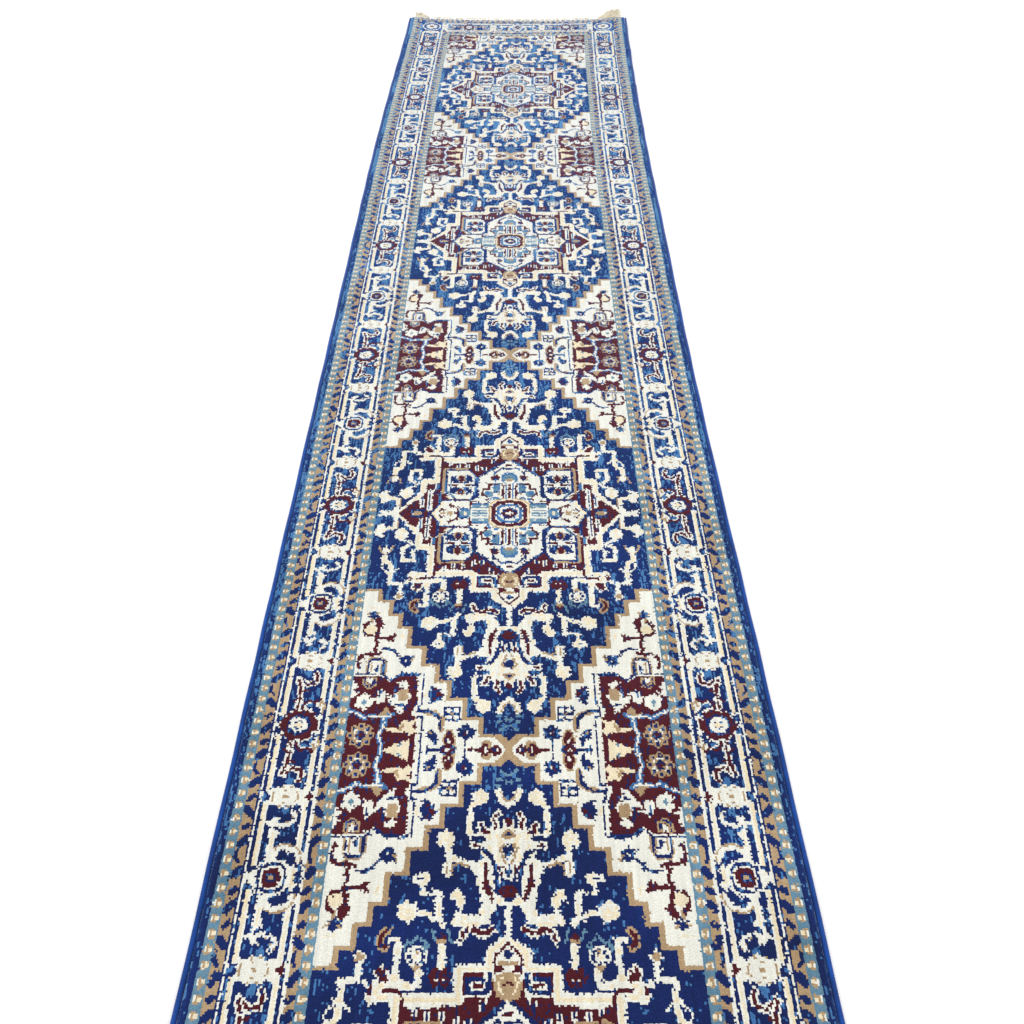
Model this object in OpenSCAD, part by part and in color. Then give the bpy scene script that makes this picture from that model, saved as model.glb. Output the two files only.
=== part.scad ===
// Runner rug: a woven ground with a cut pile in six yarn colours, corded and
// overcast long edges, and a flat web with knotted tassels at each end.
// It lies flat on Z = 0 with its length along Y. The pattern is set out in
// knots, the grid of pile tufts: x counts columns from the centre line and
// y counts rows from the middle of a medallion.

/* [Size] */
// Width and length of one knot
knot = 2.5; // [2.1:0.1:3.1]
// Number of whole medallions along the field
repeats = 4; // [2:1:5]
// Height of the pile above the ground weave
pile_height = 8; // [5:0.5:14]
// Thickness of each jute weft layer
weft_thickness = 1; // [0.8:0.1:1.6]
// Thickness of the stuffer warp between the weft layers
warp_thickness = 0.6; // [0.4:0.1:1]

/* [Edges and ends] */
// Diameter of the overcast long edge
binding_diameter = 8; // [6:0.5:9]
// Diameter of the cord inside it
cord_diameter = 4; // [3:0.5:4.5]
// Width of the flat web past the pile at each end
web_width = 10; // [8:1:20]
// Thickness of that web
web_thickness = 2; // [1.2:0.1:2]
// Distance from one tassel to the next
tassel_pitch = 10; // [8:0.5:14]
// Diameter of a tassel's knot
tassel_knot = 4.6; // [4:0.2:6]
// Length of the loose strands past the knot
tassel_length = 28; // [20:1:60]

/* [Hidden] */

// Half the field's width and half the whole rug's, in columns.
half_field = 96;
half_columns = 160;

// The widths of the stripes around the field, from the field outwards: in
// columns along the sides and in rows along the ends.
side_stripes = [6, 7, 30, 7, 7];
end_stripes = [6, 7, 27, 7, 4];
end_edge_rows = 3;
half_period = 184;
field_rows = 2 * half_period * repeats;
half_rows = field_rows / 2 + total(end_stripes) + end_edge_rows;

// The border is a row of panels. The length of one along the sides and the
// ends, and the rows kept clear of them at the corners of the field.
side_unit = 88;
end_unit = 70;
corner_clear = 30;

ground_top = 2 * weft_thickness + warp_thickness;
pile_top = ground_top + pile_height;
half_length = half_rows * knot;
half_width = half_columns * knot;
binding_x = half_width - binding_diameter / 2;
inner_x = half_width - binding_diameter;
smooth = 48;

navy = [0.07, 0.14, 0.42];
sky = [0.45, 0.66, 0.78];
ivory = [0.96, 0.95, 0.90];
butter = [0.95, 0.90, 0.74];
burgundy = [0.38, 0.09, 0.12];
tan_yarn = [0.72, 0.58, 0.41];
jute = [0.70, 0.60, 0.44];
cotton = [0.91, 0.87, 0.78];

// Sum of the first n entries of a list, or of all of them.
function total(list, n = -1, i = 0) =
    i == (n < 0 ? len(list) : n) ? 0 : list[i] + total(list, n, i + 1);

// Column and row where the stripe numbered n begins, counted outwards.
function side_start(n) = half_field + total(side_stripes, n);
function end_start(n) = field_rows / 2 + total(end_stripes, n);

function backwards(points) = [for (i = [len(points) - 1:-1:0]) points[i]];
function flip(points, sx, sy) = [for (p = points) [sx * p[0], sy * p[1]]];

// A quarter outline that runs from the X axis to the Y axis, closed by its
// three mirror images. The points on the axes are used once.
function quartered(q) =
    let (last = len(q) - 1, body = [for (i = [1:last - 1]) q[i]])
    concat(
        [q[0]], body, [q[last]],
        flip(backwards(body), -1, 1), flip([q[0]], -1, 1),
        flip(body, -1, -1), flip([q[last]], 1, -1),
        flip(backwards(body), 1, -1)
    );

// A staircase from the first corner to the last, through the corners between.
function stairs(corners) = [
    for (i = [0:len(corners) - 2]) each
        [corners[i], [corners[i + 1][0], corners[i][1]]],
    corners[len(corners) - 1]
];

// The stepped edge of the navy lozenge: one corner a step, from the side of
// the field to the point where two lozenges meet.
lozenge_steps = [
    [96, 68], [84, 77], [76, 88], [69, 98], [62, 113], [52, 126],
    [43, 138], [35, 151], [25, 163], [15, 174], [5, 174]
];
outline_width = 3;
outline_rise = 2;

lozenge_q = concat([[96, 0]], stairs(lozenge_steps), [[0, 178]]);

// One side of the white spandrel, from the side of the field to its tip.
spandrel_half = concat(
    [for (p = stairs(lozenge_steps)) [min(p[0] + outline_width, 96), p[1] + outline_rise]],
    [[2, half_period]]
);

// The medallion, from its side point to its end point.
medallion_outer_q = [
    [84, 0], [66, 19], [66, 34], [57, 34], [57, 57], [26, 57],
    [26, 71], [10, 71], [10, 76], [0, 84]
];
medallion_inner_q = [
    [78, 0], [61, 19], [61, 30], [52, 30], [52, 53], [22, 53],
    [22, 66], [8, 66], [8, 75], [0, 80]
];
star_q = [[57, 0], [50, 10], [30, 12], [24, 16], [23, 37], [0, 54]];
cross_q = [[40, 0], [40, 6], [27, 8], [17, 14], [12, 28], [6, 30], [5, 40], [0, 42]];
centre_q = [[15, 0], [15, 10], [11, 14], [0, 14]];
corner_flower = [[30, 16], [44, 16], [47, 20], [47, 44], [31, 44], [26, 37], [26, 20]];
flower_middle = [36, 29];
flower_eye_half = [6, 9];
end_bud = [[0, 56], [6, 58], [6, 66], [0, 64]];

block_corner = [56, 135];
vase = [[59, 178], [64, 180], [71, 178], [73, 184], [58, 184]];

// A prism of the pile over an outline in knots.
module pile(colour) {
    color(colour) translate([0, 0, ground_top]) linear_extrude(pile_height) children();
}

// An outline in knots as a 2D shape in millimetres.
module outline(points) {
    polygon([for (p = points) p * knot]);
}

// A rectangle in knots that is centred on the origin.
module sheet(half_x, half_y) {
    square([2 * half_x * knot, 2 * half_y * knot], center = true);
}

// A rectangular ring between two half sizes in knots.
module band(outer, inner) {
    difference() {
        sheet(outer[0], outer[1]);
        sheet(inner[0], inner[1]);
    }
}

// An octagon of the given half sizes, in knots.
module octagon(half_x, half_y) {
    cut = 0.42;
    outline(quartered([
        [half_x, 0], [half_x, half_y * cut], [half_x * cut, half_y], [0, half_y]
    ]));
}

// Its children at the middle of each medallion.
module at_medallions() {
    for (i = [0:repeats - 1])
        translate([0, (2 * i + 1 - repeats) * half_period * knot]) children();
}

// Its children, drawn for one corner, in all four corners.
module in_corners() {
    for (sx = [0, 1], sy = [0, 1])
        mirror([sx, 0]) mirror([0, sy]) children();
}

// --- Ground weave ---------------------------------------------------------

module ground_layer(bottom, thickness, colour) {
    color(colour) translate([-inner_x, -half_length, bottom])
        cube([2 * inner_x, 2 * half_length, thickness]);
}

// --- Edge band and guard stripes ------------------------------------------

module edge_band() {
    difference() {
        square([2 * inner_x, 2 * half_length], center = true);
        sheet(side_start(5), end_start(5));
    }
}

module guards(numbers) {
    for (n = numbers)
        band([side_start(n + 1), end_start(n + 1)], [side_start(n), end_start(n)]);
}

// --- Main border ----------------------------------------------------------
// A row of framed panels, each with a rosette in its middle. A panel is drawn
// with its length along Y, between the border's two edges.

last_side_unit = floor((field_rows / 2 - corner_clear) / side_unit);
frame_width = 5;
frame_chamfer = 4;

// Half sizes of the rosettes, and of the petals and the eye of a white one.
white_rosette = 10;
white_petals = 7;
white_eye = 3;
burgundy_rosette = 9;

module panel_opening(width, length) {
    half_x = width / 2 - frame_width;
    half_y = length / 2 - frame_width;
    outline(quartered([
        [half_x, 0], [half_x, half_y - frame_chamfer],
        [half_x - frame_chamfer, half_y], [0, half_y]
    ]));
}

// Its children at every panel whose number is even (0), odd (1) or either (-1).
module along_sides(parity) {
    x = side_start(2) + side_stripes[2] / 2;
    for (sx = [-1, 1], i = [-last_side_unit:last_side_unit])
        if (parity < 0 || abs(i) % 2 == parity)
            translate([sx * x * knot, i * side_unit * knot]) children();
}

module along_ends(parity) {
    y = end_start(2) + end_stripes[2] / 2;
    for (sy = [-1, 1], i = [-1:1])
        if (parity < 0 || abs(i) % 2 == parity)
            translate([i * end_unit * knot, sy * y * knot]) children();
}

module openings() {
    along_sides(-1) panel_opening(side_stripes[2], side_unit);
    along_ends(-1) rotate(90) panel_opening(end_stripes[2], end_unit);
}

module white_rosettes(half) {
    along_sides(0) octagon(half, half);
    along_ends(1) octagon(half, half);
}

module burgundy_rosettes() {
    along_sides(1) octagon(burgundy_rosette, burgundy_rosette);
    along_ends(0) octagon(burgundy_rosette, burgundy_rosette);
}

module border_frame() {
    difference() {
        band([side_start(3), end_start(3)], [side_start(2), end_start(2)]);
        openings();
    }
}

// --- Field ----------------------------------------------------------------

module lozenges() {
    at_medallions() outline(quartered(lozenge_q));
}

// Both spandrels of one medallion, above and below it.
module spandrels() {
    at_medallions() in_corners()
        outline(concat([[half_field, half_period]], spandrel_half));
}

module burgundy_blocks() {
    at_medallions() in_corners()
        translate(block_corner * knot)
            square([half_field - block_corner[0], half_period - block_corner[1]] * knot);
}

module vases() {
    at_medallions() in_corners() outline(vase);
}

module medallion_ring() {
    at_medallions() difference() {
        outline(quartered(medallion_outer_q));
        outline(quartered(medallion_inner_q));
    }
}

module medallion_ground() {
    at_medallions() difference() {
        outline(quartered(medallion_inner_q));
        outline(quartered(star_q));
        in_corners() outline(corner_flower);
        end_buds();
    }
}

// The bud at each end of one medallion.
module end_buds() {
    for (sx = [0, 1], sy = [0, 1])
        mirror([0, sy]) mirror([sx, 0]) outline(end_bud);
}

// The dark eye of a corner flower.
module flower_eye() {
    translate(flower_middle * knot) octagon(flower_eye_half[0], flower_eye_half[1]);
}

module star_field() {
    at_medallions() {
        difference() {
            outline(quartered(star_q));
            outline(quartered(cross_q));
        }
        in_corners() difference() {
            outline(corner_flower);
            flower_eye();
        }
    }
}

// --- Long edges -----------------------------------------------------------

module along_y(side) {
    translate([side * binding_x, half_length, binding_diameter / 2])
        rotate([90, 0, 0]) children();
}

module selvedge_cord(side) {
    color(cotton) along_y(side)
        cylinder(h = 2 * half_length, d = cord_diameter, $fn = smooth);
}

module overcast(side) {
    color(navy) along_y(side) difference() {
        cylinder(h = 2 * half_length, d = binding_diameter, $fn = smooth);
        translate([0, 0, -1])
            cylinder(h = 2 * half_length + 2, d = cord_diameter, $fn = smooth);
    }
}

// --- Ends -----------------------------------------------------------------
// Each is drawn past +Y and turned half round for the near end.

web_bottom = (ground_top - web_thickness) / 2;
stitch_length = 5;
stitch_gap = 3;
stitch_diameter = 0.9;
tassel_count = floor((2 * inner_x - tassel_pitch) / tassel_pitch);
neck_length = 5;
neck_diameter = 2;
skirt_diameter = 4.2;

module at_end(far) {
    rotate(far ? 0 : 180) translate([0, half_length, 0]) children();
}

module end_web(far) {
    color(cotton) at_end(far) translate([-inner_x, 0, web_bottom])
        cube([2 * inner_x, web_width, web_thickness]);
}

module hem_stitch(far) {
    pitch = stitch_length + stitch_gap;
    count = floor(2 * inner_x / pitch);
    first = -count * pitch / 2 + stitch_gap / 2;
    z = web_bottom + web_thickness + stitch_diameter / 2;
    color(cotton) at_end(far)
        for (i = [0:count - 1])
            translate([first + i * pitch, web_width / 2, z]) rotate([0, 90, 0])
                cylinder(h = stitch_length, d = stitch_diameter, $fn = 16);
}

module tassel() {
    rotate([-90, 0, 0]) {
        cylinder(h = neck_length, d = neck_diameter, $fn = 24);
        translate([0, 0, neck_length]) sphere(d = tassel_knot, $fn = 32);
        translate([0, 0, neck_length])
            cylinder(h = tassel_length, d1 = neck_diameter, d2 = skirt_diameter, $fn = 24);
    }
}

module fringe(far) {
    color(cotton) at_end(far)
        for (i = [0:tassel_count - 1])
            translate([
                (i - (tassel_count - 1) / 2) * tassel_pitch, web_width, tassel_knot / 2
            ]) tassel();
}

ground_layer(0, weft_thickness, jute);  // jute_weft_back
ground_layer(weft_thickness, warp_thickness, cotton);  // stuffer_warp
ground_layer(weft_thickness + warp_thickness, weft_thickness, jute);  // jute_weft_face

pile(navy) edge_band();  // edge_band_navy
pile(sky) guards([0, 4]);  // guard_sky
pile(tan_yarn) guards([1, 3]);  // guard_tan

pile(navy) difference() {  // border_navy
    openings();
    white_rosettes(white_rosette);
    burgundy_rosettes();
}
pile(ivory) {  // border_white
    border_frame();
    difference() {
        white_rosettes(white_petals);
        white_rosettes(white_eye);
    }
}
pile(burgundy) {  // border_burgundy
    difference() {
        white_rosettes(white_rosette);
        white_rosettes(white_petals);
    }
    white_rosettes(white_eye);
    burgundy_rosettes();
}

pile(navy) difference() {  // field_navy
    lozenges();
    at_medallions() outline(quartered(medallion_outer_q));
}
pile(ivory) {  // field_white
    difference() {
        spandrels();
        burgundy_blocks();
    }
    star_field();
}
pile(tan_yarn) {  // field_tan
    difference() {
        sheet(half_field, field_rows / 2);
        lozenges();
        spandrels();
    }
    at_medallions() end_buds();
}
pile(burgundy) {  // field_burgundy
    difference() {
        burgundy_blocks();
        vases();
    }
    medallion_ground();
    at_medallions() {
        outline(quartered(centre_q));
        in_corners() flower_eye();
    }
}
pile(butter) {  // field_butter
    medallion_ring();
    vases();
}
pile(sky) at_medallions() difference() {  // field_sky
    outline(quartered(cross_q));
    outline(quartered(centre_q));
}

selvedge_cord(-1);  // selvedge_cord_left
selvedge_cord(1);  // selvedge_cord_right
overcast(-1);  // overcast_left
overcast(1);  // overcast_right

end_web(false);  // end_web_near
end_web(true);  // end_web_far
hem_stitch(false);  // hem_stitch_near
hem_stitch(true);  // hem_stitch_far
fringe(false);  // fringe_near
fringe(true);  // fringe_far
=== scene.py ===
import math

import bpy
import numpy as np
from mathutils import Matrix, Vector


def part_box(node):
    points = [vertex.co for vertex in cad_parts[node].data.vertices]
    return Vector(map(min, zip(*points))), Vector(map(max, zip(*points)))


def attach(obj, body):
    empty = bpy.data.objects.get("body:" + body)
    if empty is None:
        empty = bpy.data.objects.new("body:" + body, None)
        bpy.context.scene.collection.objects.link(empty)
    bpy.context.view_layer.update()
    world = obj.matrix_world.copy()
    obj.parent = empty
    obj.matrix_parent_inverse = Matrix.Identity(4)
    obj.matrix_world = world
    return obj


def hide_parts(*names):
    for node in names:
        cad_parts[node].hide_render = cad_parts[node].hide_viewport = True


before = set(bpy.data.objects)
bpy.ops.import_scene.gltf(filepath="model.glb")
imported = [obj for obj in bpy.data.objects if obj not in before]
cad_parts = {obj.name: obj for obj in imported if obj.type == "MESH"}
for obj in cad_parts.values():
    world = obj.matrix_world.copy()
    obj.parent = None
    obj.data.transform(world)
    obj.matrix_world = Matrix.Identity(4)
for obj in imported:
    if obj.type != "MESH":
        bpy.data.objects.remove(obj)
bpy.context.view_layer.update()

# --- Sizes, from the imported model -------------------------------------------
_, pile_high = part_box("edge_band_navy")
_, face_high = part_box("jute_weft_face")
_, field_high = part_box("field_white")
binding_low, binding_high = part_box("overcast_right")

FIELD_X, FIELD_Y = 96, 184      # knots in a quarter of one repeat of the field
KNOT = field_high[0] / FIELD_X
REPEATS = round(field_high[1] / KNOT / FIELD_Y)
half_width = binding_high[0]
half_length = pile_high[1]
pile_x = pile_high[0]
pile_top = pile_high[2]
ground_top = face_high[2]
SLIVER = 0.01                   # less of a knot than this at the binding is no column
COLUMNS = math.ceil(pile_x / KNOT - SLIVER)     # knots from the centre line to the binding
ROWS = round(half_length / KNOT)                # knots from the middle to one end
TURN = 2 * math.pi

# --- Yarns ------------------------------------------------------------------
NAVY, SKY, AZURE, IVORY, BUTTER, BURGUNDY, TAN = range(7)
YARNS = ["navy", "sky", "azure", "ivory", "butter", "burgundy", "tan"]

# Each kind of chance has its own draws, which are the same in each run.
SEEDS = {
    "frayed": 3, "flecks": 5, "cream": 7, "tufts": 11, "thinned": 13, "wraps": 21, "tassels": 31,
}


def seeded(use, which=0):
    return np.random.default_rng(SEEDS[use] + which)


# --- The pattern, painted in knots ------------------------------------------
OUTLINE = 2.4           # how much wider an edged line is, with its outline


class Chart:
    """A grid of knots to paint on, later shapes over earlier ones. Points are in
    knots, unless scale says how many knots one unit of the design takes."""

    def __init__(self, columns, rows, ground, scale=(1, 1)):
        self.knots = np.full((rows, columns), ground, np.int8)
        row, column = np.mgrid[0:rows, 0:columns]
        self.x = (column + 0.5) / scale[0]
        self.y = (row + 0.5) / scale[1]

    def fill(self, yarn, *corners):
        """A polygon."""
        inside = np.zeros(self.x.shape, bool)
        for (ax, ay), (bx, by) in zip(corners, corners[1:] + corners[:1]):
            if ay != by:
                beside = self.x < (bx - ax) * (self.y - ay) / (by - ay) + ax
                inside ^= ((ay > self.y) != (by > self.y)) & beside
        self.knots[inside] = yarn

    def box(self, yarn, x0, y0, x1, y1):
        self.fill(yarn, (x0, y0), (x1, y0), (x1, y1), (x0, y1))

    def line(self, yarn, width, *points):
        """A line with round ends through the points."""
        for (ax, ay), (bx, by) in zip(points, points[1:]):
            dx, dy = bx - ax, by - ay
            along = ((self.x - ax) * dx + (self.y - ay) * dy) / (dx * dx + dy * dy)
            along = np.clip(along, 0, 1)
            away = np.hypot(self.x - ax - along * dx, self.y - ay - along * dy)
            self.knots[away <= width / 2] = yarn

    def spot(self, yarn, x, y, rx, ry=None):
        """A disc or an ellipse."""
        across = (self.x - x) / rx
        down = (self.y - y) / (ry or rx)
        self.knots[np.hypot(across, down) <= 1] = yarn

    def edged(self, yarn, edge, width, *points):
        """A line with an outline of another yarn."""
        self.line(edge, width + OUTLINE, *points)
        self.line(yarn, width, *points)

    def stack(self, x, y, *spots):
        """Spots of (yarn, rx, ry) at one place, each on the one before."""
        for yarn, rx, ry in spots:
            self.spot(yarn, x, y, rx, ry)


def ring(x, y, rx, ry, count, start=0):
    """Points evenly spaced round an ellipse."""
    angles = (np.arange(count) + start) * TURN / count
    return list(zip(x + rx * np.cos(angles), y + ry * np.sin(angles)))


# The parts of a blossom, as shares of its size.
DISC, PETAL, PETALS_OUT, HEART = 0.6, 0.42, 0.66, 0.26


def blossom(c, x, y, rx, ry, petals=IVORY, heart=BUTTER):
    """A round flower of six petals."""
    c.spot(petals, x, y, rx * DISC, ry * DISC)
    for petal in ring(x, y, rx * PETALS_OUT, ry * PETALS_OUT, 6, 0.5):
        c.spot(petals, *petal, rx * PETAL, ry * PETAL)
    c.spot(heart, x, y, rx * HEART, ry * HEART)


# One quarter of a repeat of the field: x from the centre line to the side, y
# from the middle of a medallion to the point where two navy lozenges meet.
LOZENGE = [(96, 68), (84, 68), (84, 77), (76, 77), (76, 88), (69, 88), (69, 98),
           (62, 98), (62, 113), (52, 113), (52, 126), (43, 126), (43, 138), (35, 138),
           (35, 150), (25, 150), (25, 163), (15, 163), (15, 174), (5, 174), (0, 179)]
LOZENGE_EDGE = (2.8, 2.4)       # how wide its tan edge is


def shifted(points, dx, dy):
    return [(x + dx, y + dy) for x, y in points]


def paint_grounds(c):
    """The stepped edge of the lozenge and the white corner beyond it."""
    corner = [(0, 200), (110, 200), (110, 68)]
    c.fill(TAN, *LOZENGE, *corner)
    c.fill(IVORY, *shifted(LOZENGE, *LOZENGE_EDGE), *corner)


def paint_medallion(c):
    """The stepped butter outline round a burgundy ground."""
    edge = [(82, -3), (64, 20), (63.5, 32), (54.3, 32), (54.3, 55), (24, 55), (24, 68.5),
            (9, 68.5), (9, 76), (-3, 85)]
    c.fill(BURGUNDY, (0, 0), *edge, (0, 85))
    c.line(IVORY, 5, *edge)
    c.line(BUTTER, 1.8, *edge)
    c.line(IVORY, 4.4, (0, 84), (0, 98))
    # the arm that points to the side
    c.box(IVORY, 50, 4, 52.5, 23)
    c.box(IVORY, 56.5, 3, 60.5, 22)
    c.line(NAVY, 1.4, (58.3, 0), (58.3, 21))
    c.line(NAVY, 1.3, (51, 9), (51, 21))
    c.line(IVORY, 1.2, (50, 24), (60, 22))
    c.box(AZURE, 51.5, 23, 54.5, 29)
    c.line(IVORY, 1.3, (54.6, 23), (54.6, 29))
    c.spot(IVORY, 58, 24.3, 1.2)
    c.box(IVORY, 62, 6, 66.5, 20)
    c.box(IVORY, 61.5, 5, 75, 12)
    c.box(BURGUNDY, 65.5, 3, 71, 9)
    c.fill(BURGUNDY, (65, 8), (72, 8), (67, 14))
    c.line(BURGUNDY, 2.6, (80, -1), (69, 9))
    c.line(BURGUNDY, 1.5, (61.3, 4), (61.3, 19))
    c.line(NAVY, 1.3, (63.8, 8), (63.8, 15))
    c.fill(BURGUNDY, (60.5, 19.5), (60.5, 15), (63, 14), (64.5, 16))
    c.box(NAVY, 62, 0.5, 71.5, 4.5)
    c.spot(TAN, 66.5, 0, 3.2, 2)
    c.spot(IVORY, 70, 0, 1.6, 1)
    # the keys under the corner box
    keys = [(19, 43.5, 47), (24.5, 43.5, 49.5), (31.5, 46, 50), (38.5, 45.5, 50), (44.5, 48.5, 53)]
    for x, top, bottom in keys:
        c.box(IVORY, x - 1.8, top, x + 1.8, bottom)
        c.box(NAVY, x - 0.7, top, x + 0.7, bottom)
    c.line(IVORY, 1.2, (34, 51.8), (46, 51.8))
    # the stepped key beside the pendant
    c.box(IVORY, 8, 56.5, 21.5, 67)
    c.line(NAVY, 1.5, (9, 66), (9, 61), (12, 58), (20, 58), (20, 64), (13, 64))
    c.box(BURGUNDY, 20.8, 58, 22.2, 67)
    c.box(BURGUNDY, 12, 65.3, 22, 67)
    c.box(BURGUNDY, 12, 60.2, 17, 62)
    c.line(IVORY, 1.4, (9.5, 56), (13, 50), (13.5, 54))
    c.spot(NAVY, 12, 52, 1.3, 2)


def paint_pendant(c):
    """The tan flower that hangs under the star."""
    c.fill(IVORY, (0, 56), (5, 58), (8.5, 66), (8.5, 75), (0, 82))
    c.fill(TAN, (0, 54), (5, 55), (7, 60), (6, 66), (0, 67))
    c.line(BUTTER, 1, (2, 57), (4.6, 60.4), (3.4, 65))
    c.line(BURGUNDY, 1.3, (0, 63), (3, 61))
    c.spot(BURGUNDY, 5, 68.5, 2, 1.7)
    c.line(BURGUNDY, 1.5, (6.2, 67), (6.6, 74), (-1, 81))
    c.spot(TAN, 2, 71, 3, 1.5)
    c.spot(NAVY, 0, 75, 2.2, 1.8)


def paint_star(c):
    """The white star, its corner box and the pale blue cross inside it."""
    star = [(58.5, -2), (51, 9), (51, 12.5), (30, 12.5), (24, 17), (24, 36), (-2, 57.5)]
    c.fill(IVORY, (0, 0), *star, (0, 57))
    c.line(NAVY, 1.8, *star)
    c.line(BUTTER, 1.6, (56, -1), (49, 8), (49, 10))
    # a bud and its stem
    c.line(TAN, 1.2, (13.5, 34), (11.5, 38))
    c.line(NAVY, 1.5, (11.5, 37), (11, 41), (5, 46), (-1, 44.5))
    c.spot(BURGUNDY, 10.5, 35.5, 2.6)
    c.spot(NAVY, 10.5, 34, 1.8)
    c.spot(BURGUNDY, 0, 49, 2, 0.8)
    c.fill(TAN, (-1, 0), (4, 0), (0, 0.8))


def paint_corner_box(c):
    """The eight-sided box with a round flower, at each corner of the medallion."""
    box = [(29, 14), (44, 14), (49, 19), (49, 45), (31, 45), (25.5, 38), (25.5, 18)]
    c.fill(IVORY, *box)
    c.line(TAN, 1.4, *box[1:5])
    c.line(NAVY, 1.2, *box[4:], (29, 14))
    c.line(NAVY, 1.4, (31, 43.5), (47, 44), (47, 21), (39, 13.5))
    c.line(SKY, 1.2, (41, 16.5), (45, 21.5))
    c.spot(BURGUNDY, 48.3, 17.5, 1.8, 2)
    c.line(BURGUNDY, 1.6, (50.8, 23), (51.2, 57), (54, 59), (60, 59))
    x, y = 36, 28
    for side in (-1, 1):
        c.line(NAVY, 1.3, (x + side * 3, y - 9), (x + side * 7.5, y - 7),
               (x + side * 7.6, y - 3))
        c.line(NAVY, 1.3, (x + side * 3, y + 10), (x + side * 7.5, y + 7.5),
               (x + side * 7.6, y + 3))
        for end in (-1, 1):
            c.fill(NAVY, (x + side * 1.2, y + end * 1.6), (x + side * 6.4, y + end * 2),
                   (x + side * 6.2, y + end * 6.4), (x + side * 2.6, y + end * 6))
            c.spot(NAVY, x + side * 5, y + end * 5.4, 1.9, 2.2)
        c.spot(BURGUNDY, x + side * 5, y, 2.2, 1.1)
        c.spot(NAVY, x + side * 8.4, y + 0.4, 1.4, 1)
    for end in (-1, 1):
        c.spot(TAN, x, y + end * 7, 2.8, 3.4)
        c.spot(BURGUNDY, x, y + end * 7, 2.1, 2.8)
        c.fill(BURGUNDY, (x - 2, y + end * 5), (x + 2, y + end * 5), (x, y + end * 2.2))
    c.spot(NAVY, x, y - 7, 1.2)
    c.spot(IVORY, x, y, 1.4, 2)


def paint_cross(c):
    """The pale blue arms round the centre of the medallion."""
    # towards the side
    c.box(SKY, 15.5, 4.6, 27, 9.6)
    c.line(AZURE, 1.2, (16, 8.4), (27, 8.4))
    c.line(NAVY, 0.9, (16, 9.4), (26.5, 9.4))
    c.line(IVORY, 0.8, (17, 6.8), (21, 6.8))
    for y in (0.4, 2.8):
        c.line(SKY, 0.9, (16, y), (27, y))
    c.line(BURGUNDY, 1.6, (28.4, 4), (28.2, 11.3), (22.5, 11.3))
    c.fill(SKY, (28, 0), (36, 0), (35, 3.5), (28, 4))
    c.line(AZURE, 1.2, (29, 3), (34.5, 3))
    c.fill(BUTTER, (31, 0), (33.5, 0), (33, 2), (31, 2))
    c.line(NAVY, 1.2, (31, 4.8), (35.5, 4.4), (37, 0.5))
    c.fill(BURGUNDY, (37.2, 0), (38.6, 0), (38, 4.5), (43.8, 7), (43.5, 9.5), (37.5, 5.5))
    c.spot(TAN, 43, 0.5, 2, 1.8)
    c.line(BURGUNDY, 1.3, (46, 4), (47.5, 2.5), (49, 4.2), (50.3, 1.5))
    c.spot(TAN, 48, 0.5, 1.6, 1)
    # towards the end
    c.line(AZURE, 1.6, (15, 10.5), (14, 14))
    c.spot(AZURE, 9.5, 14, 3, 2)
    c.spot(SKY, 15.3, 19, 3.6, 3.2)
    c.spot(AZURE, 16, 20, 1.8, 2)
    c.box(SKY, 6.6, 20, 12.5, 29)
    c.line(AZURE, 1.2, (7.4, 20), (7.4, 28))
    c.spot(NAVY, 10.5, 21, 1.4, 1)
    c.spot(AZURE, 10.5, 26, 1.4, 1.8)
    c.spot(TAN, 8, 18.8, 1.4, 1)
    c.line(BURGUNDY, 1.4, (4.6, 15.5), (5, 21), (4.4, 26), (5.5, 29))
    c.line(BURGUNDY, 1.6, (16, 14), (17, 16.5), (20, 19), (19.3, 24), (14.5, 24), (15.5, 28.5),
           (9, 29.2))
    c.line(NAVY, 1, (6, 29.5), (12, 29.2))
    c.spot(AZURE, 0, 35, 6.4, 6)
    c.spot(SKY, 0, 34.4, 5, 4.6)
    c.spot(IVORY, 0, 31.5, 3.6, 3)
    c.line(AZURE, 1.2, (2.5, 15), (2.5, 29))
    c.line(BURGUNDY, 1.2, (0, 15), (0, 29))
    c.spot(TAN, 0, 33.5, 2.8, 1.8)


def paint_centre(c):
    """The rosette in the middle of the medallion."""
    c.fill(BUTTER, (0, 0), (15.3, 0), (15.3, 9), (11, 13.6), (0, 14.6))
    c.line(TAN, 1, (14.8, -1), (14.8, 8), (10, 13.2), (4, 14.4))
    c.fill(BURGUNDY, (0, 0), (13.4, 0), (13, 8), (8.5, 11.6), (0, 13))
    c.fill(IVORY, (0, 0), (10.4, 0), (10, 5.8), (6.4, 9), (0, 10))
    c.line(AZURE, 2.2, (8.4, -1), (7.8, 5), (4.8, 7.6), (-1, 8.2))
    c.line(NAVY, 1, (9.4, 1), (8.8, 4.6), (6, 8), (2, 9))
    c.stack(0, 0, (NAVY, 5.6, 4.8), (BURGUNDY, 4.6, 3.8), (IVORY, 2.8, 1.6))


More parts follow.
